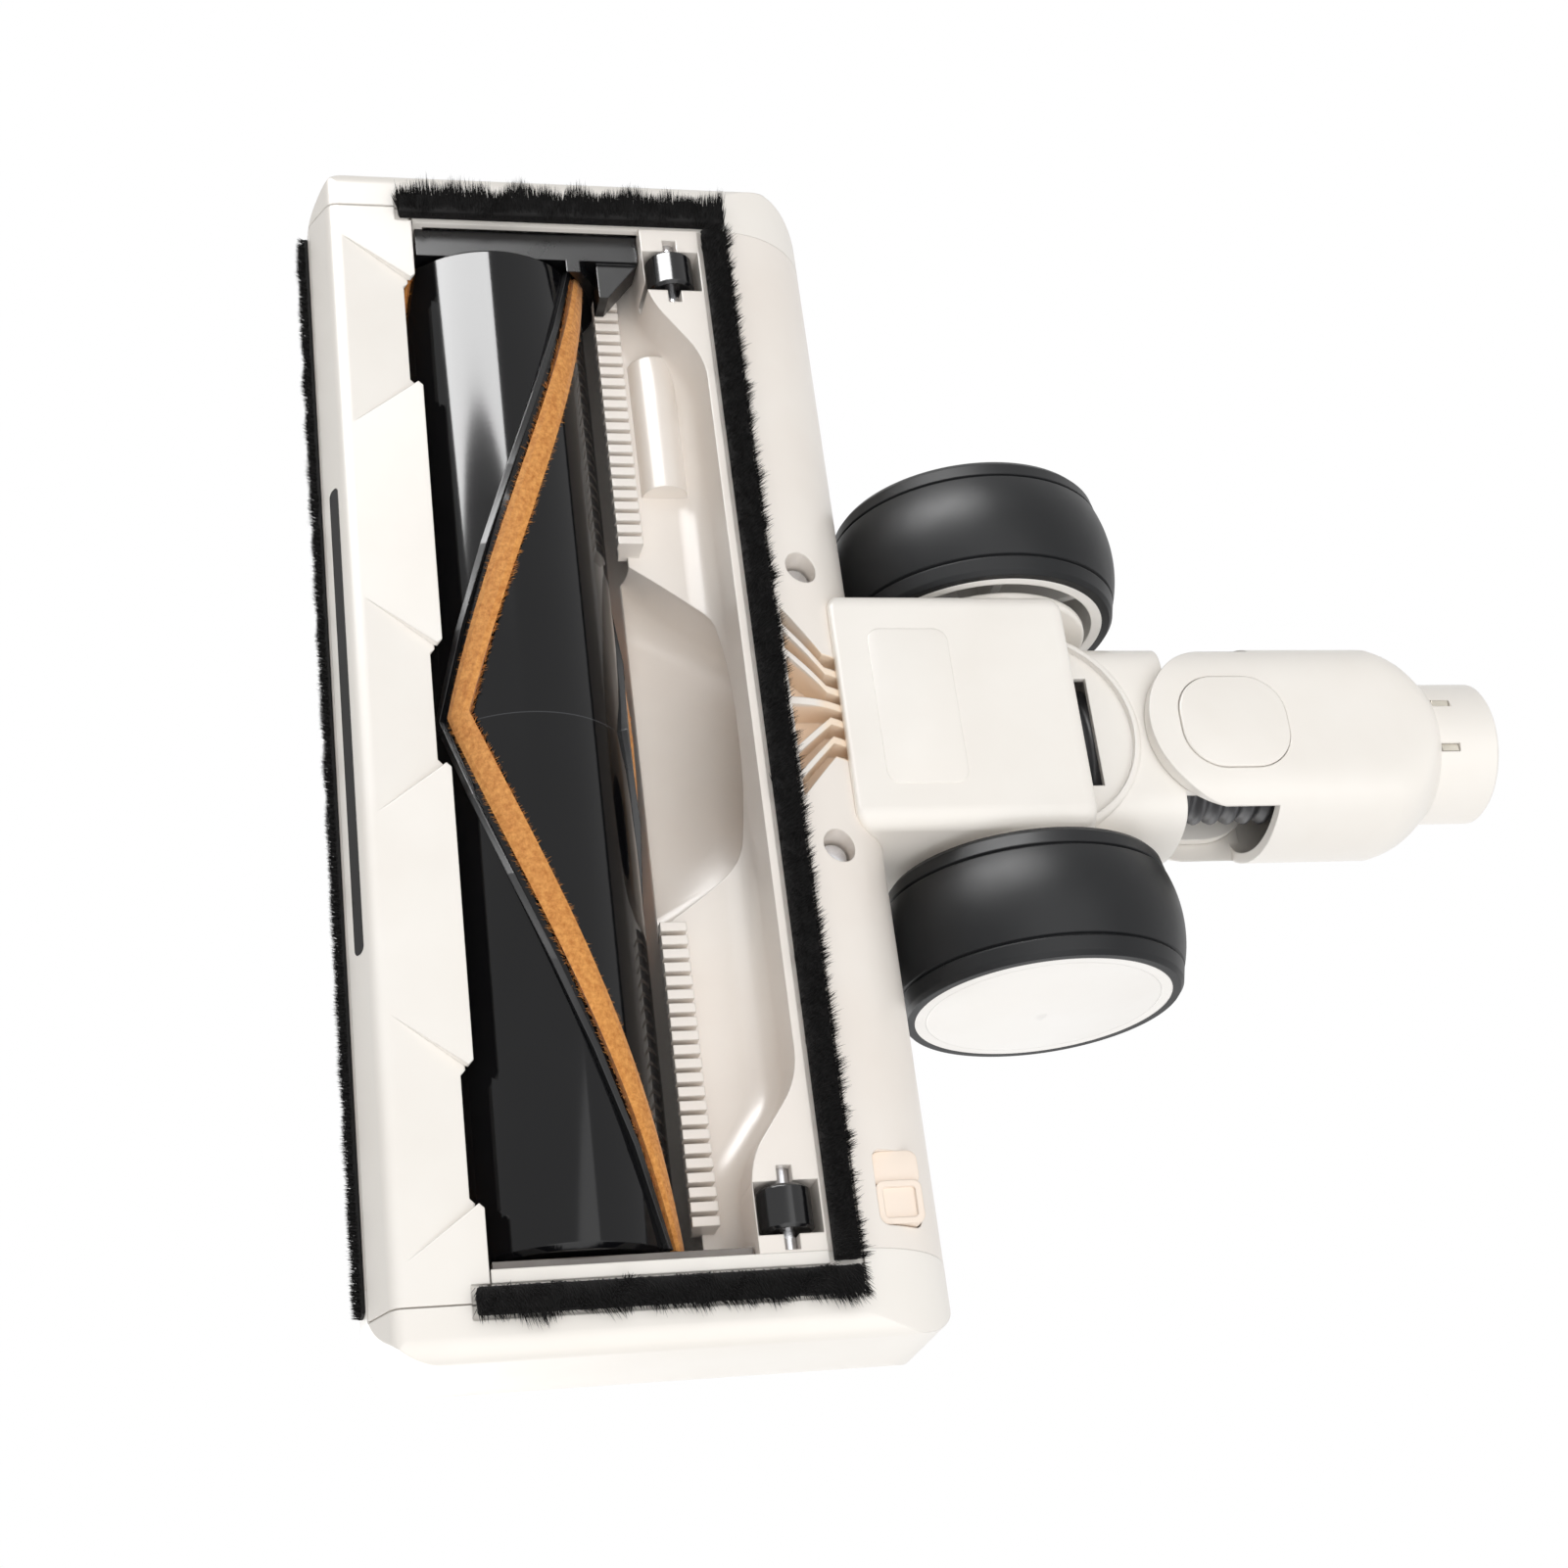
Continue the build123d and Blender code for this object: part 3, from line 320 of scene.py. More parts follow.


# Painted shade: a warm peach tone inside the vent slots stands for the shade and the light
# glowing through the plastic there
vent_painted_shade = (vent_shade_mask, (248, 226, 202), (251, 234, 214))
cream = moulded("cream_moulding", (247, 243, 237), (243, 238, 231), 0.34)
cream_inner = moulded(
    "cream_underside", (244, 238, 231), (239, 231, 223), 0.30, shade_patch=vent_painted_shade
)
cream_soft = moulded("cream_latch", (250, 236, 222), (247, 230, 214), 0.35)
wheel_white = moulded("wheel_white", (249, 247, 244), (245, 242, 238), 0.32)
gloss_black = moulded(
    "gloss_black", (13, 13, 15), (9, 9, 11), 0.08,
    edge=0.3 * MM, grain=0.01, ior=1.36, line_x=-3.0 * MM,
)
small_black = moulded("roller_black", (16, 16, 18), (11, 11, 13), 0.16, edge=0.3 * MM)
satin_black = moulded(
    "satin_black", (16, 16, 18), (11, 11, 12), 0.28, edge=0.3 * MM, grain=0.03
)
tyre_rubber = moulded(
    "tyre_rubber", (24, 25, 27), (19, 20, 22), 0.42, edge=0.4 * MM, grain=0.05, ior=1.34
)
strip_rubber = moulded(
    "strip_rubber", (26, 25, 26), (16, 15, 16), 0.65, edge=0.2 * MM, grain=0.12
)
hose_rubber = moulded(
    "hose_rubber", (80, 80, 82), (58, 58, 61), 0.42, edge=0.2 * MM, grain=0.08
)
smoky = moulded(
    "smoky_window", (18, 15, 14), (12, 10, 9), 0.12, edge=0.2 * MM, grain=0.01, ior=1.22
)
board_white = moulded("board_white", (228, 224, 214), (214, 208, 196), 0.5, edge=0.1 * MM)
motor_grey = moulded("motor_can", (120, 121, 125), (98, 99, 103), 0.4, edge=0.3 * MM)
steel = metal("bright_steel", (0.74, 0.74, 0.76), 0.22)
contact_metal = metal("contact_metal", (0.62, 0.58, 0.50), 0.3)
felt_pile = fibre(
    "black_pile", (5, 5, 5), (20, 18, 18), scale=1500.0, roughness=0.9, sheen=0.04
)
bristle_pile = fibre(
    "orange_pile", (182, 108, 40), (236, 170, 92), scale=900.0, roughness=0.75, sheen=0.2
)

dress = {
    cream: ["top_cover", "end_cap", "drive_cover", "front_bumper", "neck_base"],
    cream_inner: ["base_housing"],
    cream_soft: ["latch_slider"],
    wheel_white: ["rim_left", "rim_right", "wheel_cap_left", "wheel_cap_right"],
    gloss_black: ["roller_core"],
    small_black: ["support_roller_left", "support_roller_right"],
    satin_black: ["drive_bracket", "roller_pulley",
                  "wiper_blade_1", "wiper_blade_2", "wiper_blade_3"],
    tyre_rubber: ["tyre_left", "tyre_right"],
    strip_rubber: ["drive_belt"],
    smoky: ["light_window"],
    board_white: ["led_board"],
    motor_grey: ["motor"],
    steel: ["support_pin_left", "support_pin_right", "axle_left", "axle_right",
            "housing_screws", "roller_bearing", "motor_pulley"],
    contact_metal: ["contact_pins"],
    clear_plastic(): ["bearing_plate"],
}
for material, names in dress.items():
    for name in names:
        dress_in(nodes[name], material)


# Pile strips
PILE_DENSITY = 12.0
PILE_RADIUS = 0.1 * MM
PILE_STRAY = 0.35 * MM
FIBRE_THIN, FIBRE_THICK = 0.7, 1.3
BACKING_INSET = 0.7 * MM
FELT_BACKING_LIFT = 1.7 * MM
FELT_BACKING_EDGE = 0.5 * MM
FELT_ROOT_INSET = 0.4 * MM
FELT_ROOT_LIFT = 2.6 * MM
FELT_END_SPLAY = 0.6 * MM
FELT_CLUMPING = 0.55
FELT_CLUMP = 9 * MM
FELT_SWAY = 0.4 * MM
FELT_SWAY_WAVE = 5 * MM
FELT_TIP_LOW, FELT_TIP_HIGH = 0.02, 0.6
FRONT_BACKING_EDGE = 0.3 * MM
FRONT_ROOT_DEPTH = 0.9 * MM
FRONT_STAND = 0.9 * MM
FRONT_STAND_CLUMP = 0.35 * MM
FRONT_STAND_STRAY = 0.2 * MM
FRONT_DROOP = 1.0 * MM
FRONT_DROOP_CLUMP = 0.5 * MM
FRONT_CLUMP = 8 * MM
FIBRE_SIDEWAYS = np.array([0.31, 0.87, 0.38])


def one_spike():
    """A single fibre: a slim three-sided spike of unit length on +Z, closed at its root."""
    clear_selection()
    bpy.ops.mesh.primitive_cone_add(
        vertices=3, radius1=1.0, radius2=0.0, depth=1.0, location=(0, 0, 0.5)
    )
    spike = bpy.context.object
    bpy.ops.object.transform_apply(location=True)
    points = np.array([v.co for v in spike.data.vertices])
    faces = [list(p.vertices) for p in spike.data.polygons]
    drop(spike)
    return points, faces


spike_points, spike_faces = one_spike()


def ruffle(first, second, wave):
    """Gentle uneven waves over a strip, mostly between -1 and 1."""
    total = np.zeros_like(first)
    for _ in range(6):
        heading = rng.uniform(0, FULL_TURN)
        length = wave * rng.uniform(0.5, 1.6)
        along = first * math.cos(heading) + second * math.sin(heading)
        total += np.sin(along / length * FULL_TURN + rng.uniform(0, FULL_TURN))
    return total / 3


def plant(name, roots, tips, radius, backing):
    """Copies the spike from each root to its tip, and joins the backing under them."""
    count = len(roots)
    stalk = tips - roots
    heading = stalk / np.linalg.norm(stalk, axis=1, keepdims=True)
    side = np.cross(heading, FIBRE_SIDEWAYS)
    side = side / np.linalg.norm(side, axis=1, keepdims=True)
    turn = rng.uniform(0, FULL_TURN, (count, 1))
    first = side * np.cos(turn) + np.cross(heading, side) * np.sin(turn)
    second = np.cross(heading, first)
    thick = radius * rng.uniform(FIBRE_THIN, FIBRE_THICK, (count, 1, 1))
    x, y, z = (spike_points[None, :, axis, None] for axis in range(3))
    points = (
        roots[:, None, :]
        + thick * (x * first[:, None, :] + y * second[:, None, :])
        + z * stalk[:, None, :]
    )
    corners = len(spike_points)
    faces = [[v + i * corners for v in face] for i in range(count) for face in spike_faces]
    mesh = bpy.data.meshes.new(name)
    mesh.from_pydata(points.reshape(-1, 3).tolist(), [], faces)
    mesh.update()
    piece = link_mesh(name, mesh)
    pick(piece)
    backing.select_set(True)
    bpy.ops.object.join()
    clear_selection()
    return piece


def backing_bar(low, high, edge):
    """Woven backing of a pile strip: a bar with rounded edges."""
    clear_selection()
    bpy.ops.mesh.primitive_cube_add(size=1.0, location=(low + high) / 2)
    bar = bpy.context.object
    bar.scale = high - low
    bpy.ops.object.transform_apply(location=True, scale=True)
    shape_with(bar, "BEVEL", width=edge, segments=2)
    return bar


def finish_pile(piece, material, body, node):
    dress_in(piece, material)
    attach(piece, body)
    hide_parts(node)


def felt_strip(node, lean):
    """Pile strip standing on the floor, combed over to one side in uneven clumps."""
    low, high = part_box(node)
    bar = backing_bar(
        Vector((low.x + BACKING_INSET, low.y + BACKING_INSET, low.z + FELT_BACKING_LIFT)),
        Vector((high.x - BACKING_INSET, high.y - BACKING_INSET, high.z)),
        FELT_BACKING_EDGE,
    )
    area = (high.x - low.x) * (high.y - low.y) / (MM * MM)
    count = int(area * PILE_DENSITY)
    u = rng.uniform(0, 1, count)
    v = rng.uniform(0, 1, count)
    root = np.zeros((count, 3))
    root[:, 0] = low.x + FELT_ROOT_INSET + u * (high.x - low.x - 2 * FELT_ROOT_INSET)
    root[:, 1] = low.y + FELT_ROOT_INSET + v * (high.y - low.y - 2 * FELT_ROOT_INSET)
    root[:, 2] = low.z + FELT_ROOT_LIFT
    off_middle = np.stack([(u - 0.5) * 2, (v - 0.5) * 2], axis=1)
    splay = np.sign(off_middle) * np.abs(off_middle) ** 9 * FELT_END_SPLAY
    clump = 1.0 + FELT_CLUMPING * ruffle(root[:, 0], root[:, 1], FELT_CLUMP)
    sway = np.stack(
        [ruffle(root[:, 0], root[:, 1], FELT_SWAY_WAVE) for _ in range(2)], axis=1
    )
    stray = rng.normal(0, PILE_STRAY, (count, 2))
    tip = root.copy()
    tip[:, :2] += np.array(lean)[None, :] * clump[:, None] + splay + sway * FELT_SWAY + stray
    tip[:, 2] = low.z + rng.uniform(FELT_TIP_LOW, FELT_TIP_HIGH, count) * MM
    piece = plant(node + "_pile", root, tip, PILE_RADIUS, bar)
    finish_pile(piece, felt_pile, "head", node)


def front_pile(node):
    """Pile strip on the front edge, combed down toward the floor."""
    low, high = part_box(node)
    bar = backing_bar(
        Vector((low.x, low.y + BACKING_INSET, low.z)),
        Vector((high.x, high.y, high.z)),
        FRONT_BACKING_EDGE,
    )
    area = (high.x - low.x) * (high.z - low.z) / (MM * MM)
    count = int(area * PILE_DENSITY)
    root = np.zeros((count, 3))
    root[:, 0] = rng.uniform(low.x, high.x, count)
    root[:, 1] = low.y + FRONT_ROOT_DEPTH
    root[:, 2] = rng.uniform(low.z, high.z, count)
    clump = ruffle(root[:, 0], root[:, 2], FRONT_CLUMP)
    tip = root.copy()
    tip[:, 0] += rng.normal(0, PILE_STRAY, count)
    tip[:, 1] = low.y - FRONT_STAND - clump * FRONT_STAND_CLUMP
    tip[:, 1] += rng.normal(0, FRONT_STAND_STRAY, count)
    tip[:, 2] -= FRONT_DROOP + clump * FRONT_DROOP_CLUMP
    tip[:, 2] += rng.normal(0, PILE_STRAY, count)
    piece = plant(node + "_pile", root, tip, PILE_RADIUS, bar)
    finish_pile(piece, felt_pile, "head", node)


felt_strip("left_felt", (-1.9 * MM, 0.3 * MM))
felt_strip("right_felt", (2.6 * MM, -0.2 * MM))
felt_strip("rear_felt", (0.2 * MM, 0.9 * MM))
front_pile("front_strip")


# Bristle rows on the roller
core_low, core_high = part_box("roller_core")
strip_low, strip_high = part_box("bristle_strip_1")
roller_axis = Vector((0, (core_low.y + core_high.y) / 2, (core_low.z + core_high.z) / 2))
roller_radius = (core_high.z - core_low.z) / 2
row_middle = (strip_low.x + strip_high.x) / 2
row_half = (strip_high.x - strip_low.x) / 2
ROW_COUNT = 3
ROW_VERTEX = -41.0
ROW_SWEEP = 104.0
ROW_WIDTH = 5.5 * MM
ROW_DENSITY = 15.0
TIP_RADIUS = 23.85 * MM
TUFT = 2.4 * MM
TUFT_GATHER = 0.28 * MM
BRISTLE_RADIUS = 0.09 * MM
BRISTLE_STRAY = 0.3 * MM
BRISTLE_FLARE = 1.0 * MM
BRISTLE_UNEVEN = 0.9 * MM
BRISTLE_ROOT = 0.2 * MM
ROW_END_GAP = 0.3 * MM
ROW_EDGE_GAP = 0.5 * MM
ROW_EDGE_DROP = 1.0 * MM
TUFT_DIP = 0.3 * MM
TUFT_UNEVEN = 0.25 * MM
TUFT_WAVE = 7 * MM
ROW_DIP = 0.25 * MM
ROW_WAVE = 9 * MM
BACKING_SHORTER = 0.8 * MM
BACKING_NARROWER = 0.9 * MM
BACKING_EDGE_DROP = 0.4 * MM
ROW_BACKING_THICK = 1.8 * MM
ROW_BACKING_RISE = 0.6 * MM


def row_angle(x):
    """Angle of the row's middle line along the roller, a chevron."""
    return np.radians(ROW_VERTEX + ROW_SWEEP * np.abs(x - row_middle) / row_half)


def on_roller(x, angle, radius):
    """Points round the roller: angle from straight down toward the rear."""
    y = roller_axis.y + radius * np.sin(angle)
    z = roller_axis.z - radius * np.cos(angle)
    return np.stack([x, y, z], axis=-1)


def row_backing(turn):
    """Woven backing of a bristle row, wound on the roller."""
    clear_selection()
    bpy.ops.mesh.primitive_grid_add(x_subdivisions=100, y_subdivisions=4, size=1.0)
    bar = bpy.context.object
    flat = np.array([v.co for v in bar.data.vertices])
    x = row_middle + flat[:, 0] * (strip_high.x - strip_low.x - BACKING_SHORTER)
    across = flat[:, 1] * (ROW_WIDTH - BACKING_NARROWER)
    radius = roller_radius + ROW_BACKING_RISE - BACKING_EDGE_DROP * (flat[:, 1] * 2) ** 4
    placed = on_roller(x, row_angle(x) + turn + across / roller_radius, radius)
    for vertex, place in zip(bar.data.vertices, placed):
        vertex.co = place
    shape_with(bar, "SOLIDIFY", thickness=ROW_BACKING_THICK, offset=0.0)
    pick(bar)
    bpy.ops.object.mode_set(mode="EDIT")
    bpy.ops.mesh.select_all(action="SELECT")
    bpy.ops.mesh.normals_make_consistent(inside=False)
    bpy.ops.object.mode_set(mode="OBJECT")
    return bar


def bristle_row(index):
    """One chevron of bristles: tufts close together, flared and lower at the row's edges."""
    turn = math.radians(360.0 / ROW_COUNT * index)
    bar = row_backing(turn)
    length = strip_high.x - strip_low.x
    count = int(length * ROW_WIDTH / (MM * MM) * ROW_DENSITY)
    x = rng.uniform(strip_low.x + ROW_END_GAP, strip_high.x - ROW_END_GAP, count)
    v = rng.uniform(-1, 1, count)
    angle = row_angle(x) + turn + v * (ROW_WIDTH - ROW_EDGE_GAP) / 2 / roller_radius
    root = on_roller(x, angle, np.full(count, roller_radius - BRISTLE_ROOT))
    phase = (x + TUFT_UNEVEN * ruffle(x, v * MM, TUFT_WAVE)) / TUFT * FULL_TURN
    gather = -np.sin(phase) * TUFT_GATHER
    flare = np.sign(v) * np.abs(v) ** 2 * BRISTLE_FLARE
    tip_angle = angle + (flare + rng.normal(0, BRISTLE_STRAY, count)) / roller_radius
    crown = ROW_EDGE_DROP * np.abs(v) ** 3 + TUFT_DIP * (1 - np.cos(phase)) / 2
    crown += ROW_DIP * (1 + ruffle(x, v * 3 * MM, ROW_WAVE))
    reach = TIP_RADIUS - rng.uniform(0, 1.0, count) ** 2 * BRISTLE_UNEVEN - crown
    tip = on_roller(x + gather + rng.normal(0, BRISTLE_STRAY, count), tip_angle, reach)
    number = str(index + 1)
    piece = plant("bristle_row_" + number, root, tip, BRISTLE_RADIUS, bar)
    finish_pile(piece, bristle_pile, "roller", "bristle_strip_" + number)


for index in range(ROW_COUNT):
    bristle_row(index)


# Shaping of the neck, the cradle and the latch
SIDES = 128
UPRIGHT = 2
FAR = 60.0 * MM


def rod(radius, depth, location, rotation=(0, 0, 0), sides=SIDES):
    clear_selection()
    bpy.ops.mesh.primitive_cylinder_add(
        vertices=sides, radius=radius, depth=depth, location=location, rotation=rotation
    )
    bpy.ops.object.transform_apply(location=True, rotation=True)
    return bpy.context.object


def bar_along(y0, y1, radius):
    """Round bar along the neck."""
    return rod(radius, y1 - y0, (0, (y0 + y1) / 2, axle.z), (math.pi / 2, 0, 0))


def bar_across(x, width, radius, sides=SIDES):
    """Round bar along the wheels' axle."""
    return rod(radius, width, (x, axle.y, axle.z), (0, math.pi / 2, 0), sides)


def disc(y, z0, z1, radius):
    return rod(radius, z1 - z0, (0, y, (z0 + z1) / 2))


def brick(x0, x1, y0, y1, z0, z1):
    clear_selection()
    middle = ((x0 + x1) / 2, (y0 + y1) / 2, (z0 + z1) / 2)
    bpy.ops.mesh.primitive_cube_add(size=1.0, location=middle)
    box = bpy.context.object
    box.scale = (x1 - x0, y1 - y0, z1 - z0)
    bpy.ops.object.transform_apply(location=True, scale=True)
    return box


def tongue(y, stretch, z0, z1, radius):
    """Disc drawn out along the neck into a round-ended plate."""
    plate = disc(y, z0, z1, radius)
    for vertex in plate.data.vertices:
        if (vertex.co.y - y) * stretch > 0:
            vertex.co.y += stretch
    return plate


def flat_height(height, half, soften):
    """Height of a point on a round bar whose top and bottom are pressed flat, softly."""
    size = np.abs(height)
    share = np.clip(0.5 + 0.5 * (half - size) / soften, 0, 1)
    pressed = half * (1 - share) + size * share - soften * share * (1 - share)
    return np.sign(height) * pressed


def press_flat(piece, half, soften):
    for vertex in piece.data.vertices:
        vertex.co.z = axle.z + float(flat_height(vertex.co.z - axle.z, half, soften))


def carve(piece, tool, operation):
    """Adds, takes away or keeps what another solid covers."""
    shape_with(piece, "BOOLEAN", operation=operation, solver="EXACT", object=tool)
    drop(tool)


def round_edges(piece, width, angle=60):
    """Rounds the edges sharper than an angle, in degrees."""
    shape_with(piece, "BEVEL", width=width, segments=3, limit_method="ANGLE",
               angle_limit=math.radians(angle))


def round_corners(piece, axis, offset, segments):
    """Rounds the edges of a brick that run along one axis."""
    pick(piece)
    bpy.ops.object.mode_set(mode="EDIT")
    bpy.ops.mesh.select_mode(type="EDGE")
    bpy.ops.mesh.select_all(action="DESELECT")
    bpy.ops.object.mode_set(mode="OBJECT")
    points = piece.data.vertices
    for edge in piece.data.edges:
        first, second = (points[i].co for i in edge.vertices)
        edge.select = abs(first[axis] - second[axis]) > 0.1 * MM
    bpy.ops.object.mode_set(mode="EDIT")
    bpy.ops.mesh.bevel(offset=offset, offset_type="OFFSET", segments=segments)
    bpy.ops.object.mode_set(mode="OBJECT")
    clear_selection()


def spun(name, outline, centre_z, steps):
    """Closed outline of (y, radius) points spun round an axis along the neck."""
    points = [(0.0, y, centre_z + radius) for y, radius in outline]
    edges = [(i, (i + 1) % len(points)) for i in range(len(points))]
    mesh = bpy.data.meshes.new(name)
    mesh.from_pydata(points, edges, [])
    piece = link_mesh(name, mesh)
    pick(piece)
    bpy.ops.object.mode_set(mode="EDIT")
    bpy.ops.mesh.select_all(action="SELECT")
    bpy.ops.mesh.spin(steps=steps, angle=FULL_TURN, center=(0, 0, centre_z), axis=(0, 1, 0))
    bpy.ops.mesh.select_all(action="SELECT")
    bpy.ops.mesh.remove_doubles(threshold=0.01 * MM)
    bpy.ops.mesh.normals_make_consistent(inside=False)
    bpy.ops.object.mode_set(mode="OBJECT")
    return piece


def finish_shell(piece, name, body, material, replaced=()):
    pick(piece)
    bpy.ops.object.mode_set(mode="EDIT")
    bpy.ops.mesh.select_all(action="SELECT")
    bpy.ops.mesh.remove_doubles(threshold=0.002 * MM)
    bpy.ops.mesh.normals_make_consistent(inside=False)
    bpy.ops.object.mode_set(mode="OBJECT")
    bpy.ops.object.shade_smooth_by_angle(angle=math.radians(32))
    piece.name = name
    dress_in(piece, material)
    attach(piece, body)
    if replaced:
        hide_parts(*replaced)
    clear_selection()


def level(offset):
    """Height above or below the neck's middle."""
    return axle.z + offset


# Neck: flat-sided link with its drum, and the forked tube that swivels on it
pitch_joint = next(j for j in frame["joints"] if j["name"] == "neck_pitch")
swivel_joint = next(j for j in frame["joints"] if j["name"] == "neck_swivel")
axle = Vector(pitch_joint["pos_m"])
pivot = Vector(swivel_joint["pos_m"])
NECK_RADIUS = 24.0 * MM
WALL = 2.4 * MM
LINK_HALF = 14.0 * MM
LINK_SOFT = 5.0 * MM
BORE_SOFT = 4.0 * MM
EAR_RADIUS = 15.0 * MM
FORK_HALF = 17.6 * MM
FORK_SOFT = 4.5 * MM
FORK_GAP = 0.4 * MM
FORK_RADIUS = 19.6 * MM
FORK_LAP = 3.0 * MM
FORK_ROOT = 2.5 * MM
FLAT_FADE = 6 * MM
CUT_PAST = 1.0 * MM
link_end = axle.y + 35.5 * MM

DRUM_RADIUS = 24.5 * MM
DRUM_HALF = LINK_HALF + 0.8 * MM
DRUM_EDGE = 1.0 * MM
DRUM_FRONT = 12.0 * MM
DRUM_WALL = 3.0 * MM
DRUM_BORE = 21.9 * MM
DRUM_SIDE = 21.5 * MM
DRUM_FACE = 22.9 * MM
DRUM_FACE_DEPTH = 1.6 * MM
DRUM_SLOT_HALF = 13.0 * MM
DRUM_SLOT_END = 17.5 * MM
drum_y = axle.y + 3.0 * MM

SPIGOT_RADIUS = 16.0 * MM
SPIGOT_BORE = 13.6 * MM
SPIGOT_EDGE = 0.6 * MM
SHOULDER_BOW = 1.43 * MM
SHOULDER_STEPS = 14
HOSE_SEAT = 11.0 * MM
tube_front = pivot.y + 8.0 * MM
hose_seat_front = pivot.y + 24 * MM
hose_seat_full = pivot.y + 27 * MM
tube_body_end = pivot.y + 37.0 * MM
tube_shoulder_end = pivot.y + 49.5 * MM
spigot_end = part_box("connector_tube")[1].y

CAP_HALF_WIDE = 11.0 * MM
CAP_HALF_LONG = 12.5 * MM
CAP_CORNER = 9.0 * MM
CAP_SINK = 1.1 * MM
CAP_RISE = 0.5 * MM
CAP_SEAT = 1.2 * MM
CAP_ROOM = 0.2 * MM
PIN_RADIUS = 3.4 * MM
PIN_PROUD = 0.3 * MM
CONTACT_HALF = 0.9 * MM
CONTACT_ROOM = 0.3 * MM
CONTACT_INSET = 0.8 * MM
CONTACT_CUT = 4 * MM


def elbow_shell():
    """Link with its drum, hollow for the hose, open below where the hose bends."""
    drum = disc(drum_y, level(-DRUM_HALF), level(DRUM_HALF), DRUM_RADIUS)
    round_edges(drum, DRUM_EDGE, angle=40)
    front = brick(-FAR, FAR, axle.y - FAR, axle.y - DRUM_FRONT, level(-FAR), level(FAR))
    carve(drum, front, "DIFFERENCE")
    link = bar_along(axle.y, link_end, NECK_RADIUS)
    press_flat(link, LINK_HALF, LINK_SOFT)
    carve(drum, link, "UNION")
    reach = link_end - WALL - pivot.y
    for side in (-1, 1):
        low, high = sorted((side * LINK_HALF, side * (LINK_HALF - WALL)))
        carve(drum, tongue(pivot.y, reach, level(low), level(high), EAR_RADIUS), "UNION")
    inner_half = DRUM_HALF - DRUM_WALL
    inside = disc(drum_y, level(-inner_half), level(inner_half), DRUM_BORE)
    sides = brick(-DRUM_SIDE, DRUM_SIDE, axle.y - FAR, axle.y + FAR, level(-FAR), level(FAR))
    carve(inside, sides, "INTERSECT")
    carve(drum, inside, "DIFFERENCE")
    bore = bar_along(axle.y, link_end + CUT_PAST, NECK_RADIUS - WALL)
    press_flat(bore, LINK_HALF - WALL, BORE_SOFT)
    carve(drum, bore, "DIFFERENCE")
    slot = brick(-DRUM_SLOT_HALF, DRUM_SLOT_HALF,
                 axle.y - FAR, axle.y + DRUM_SLOT_END, level(-FAR), level(0))
    carve(drum, slot, "DIFFERENCE")
    recess = disc(drum_y, level(-FAR), level(DRUM_FACE_DEPTH - DRUM_HALF), DRUM_FACE)
    carve(drum, recess, "DIFFERENCE")
    finish_shell(drum, "elbow_shell", "elbow", cream, ["neck_elbow"])


def outer_radius(y):
    """Outside of the tube: straight body, bowed shoulder, then the spigot."""
    share = np.clip((y - tube_body_end) / (tube_shoulder_end - tube_body_end), 0, 1)
    drop_in = (NECK_RADIUS - SPIGOT_RADIUS) * share
    return NECK_RADIUS - drop_in + SHOULDER_BOW * np.sin(share * math.pi)


def cap_block(low, high, grow):
    """Oval cover over a swivel pin, or its seat when grown."""
    wide = CAP_HALF_WIDE + grow
    long = CAP_HALF_LONG + grow
    block = brick(-wide, wide, pivot.y - long, pivot.y + long, level(low), level(high))
    round_corners(block, UPRIGHT, CAP_CORNER + grow, segments=10)
    return block


def flatten_tube(tube):
    """Presses the tube's body flat above and below, and leaves the spigot round."""
    for vertex in tube.data.vertices:
        height = vertex.co.z - axle.z
        radius = math.hypot(vertex.co.x, height)
        outer = radius > float(outer_radius(vertex.co.y)) - 1.0 * MM
        half = FORK_HALF if outer else FORK_HALF - WALL
        if radius > half:
            share = min(max((radius - SPIGOT_RADIUS) / FLAT_FADE, 0.02), 1.0)
            vertex.co.z = axle.z + float(flat_height(height, half, FORK_SOFT * share))


def tube_shell():
    """Forked tube with its spigot, the seats of the pin covers and the contact slots."""
    ys = [tube_front, *np.linspace(tube_body_end, tube_shoulder_end, SHOULDER_STEPS)]
    ys.append(spigot_end - SPIGOT_EDGE)
    room = NECK_RADIUS - WALL
    outline = [(y, float(outer_radius(y))) for y in ys]
    outline += [
        (spigot_end, SPIGOT_RADIUS - SPIGOT_EDGE),
        (spigot_end, SPIGOT_BORE),
        (tube_body_end, HOSE_SEAT),
        (hose_seat_full, HOSE_SEAT),
        (hose_seat_front, room),
        (tube_front, room),
    ]
    tube = spun("tube_shell", outline, axle.z, SIDES)
    flatten_tube(tube)
    for side in (-1, 1):
        low, high = sorted((side * FORK_HALF, side * (LINK_HALF + FORK_GAP)))
        reach = tube_front + FORK_LAP - pivot.y
        leg = tongue(pivot.y, reach, level(low), level(high), FORK_RADIUS)
        bar = bar_along(pivot.y - FAR, tube_front + FORK_ROOT, NECK_RADIUS)
        press_flat(bar, FORK_HALF, FORK_SOFT)
        carve(leg, bar, "INTERSECT")
        carve(tube, leg, "UNION")
        low, high = sorted((side * (FORK_HALF - CAP_SEAT), side * FAR))
        carve(tube, cap_block(low, high, CAP_ROOM), "DIFFERENCE")
    contact_low, contact_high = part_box("contact_pins")
    for side in (-1, 1):
        x = side * (contact_high.x - CONTACT_INSET)
        slot = brick(
            x - CONTACT_HALF, x + CONTACT_HALF,
            contact_low.y - CONTACT_ROOM, contact_high.y + CONTACT_ROOM,
            contact_low.z - CONTACT_CUT, contact_low.z + CONTACT_HALF,
        )
        carve(tube, slot, "DIFFERENCE")
    finish_shell(tube, "tube_shell", "tube", cream, ["connector_tube"])


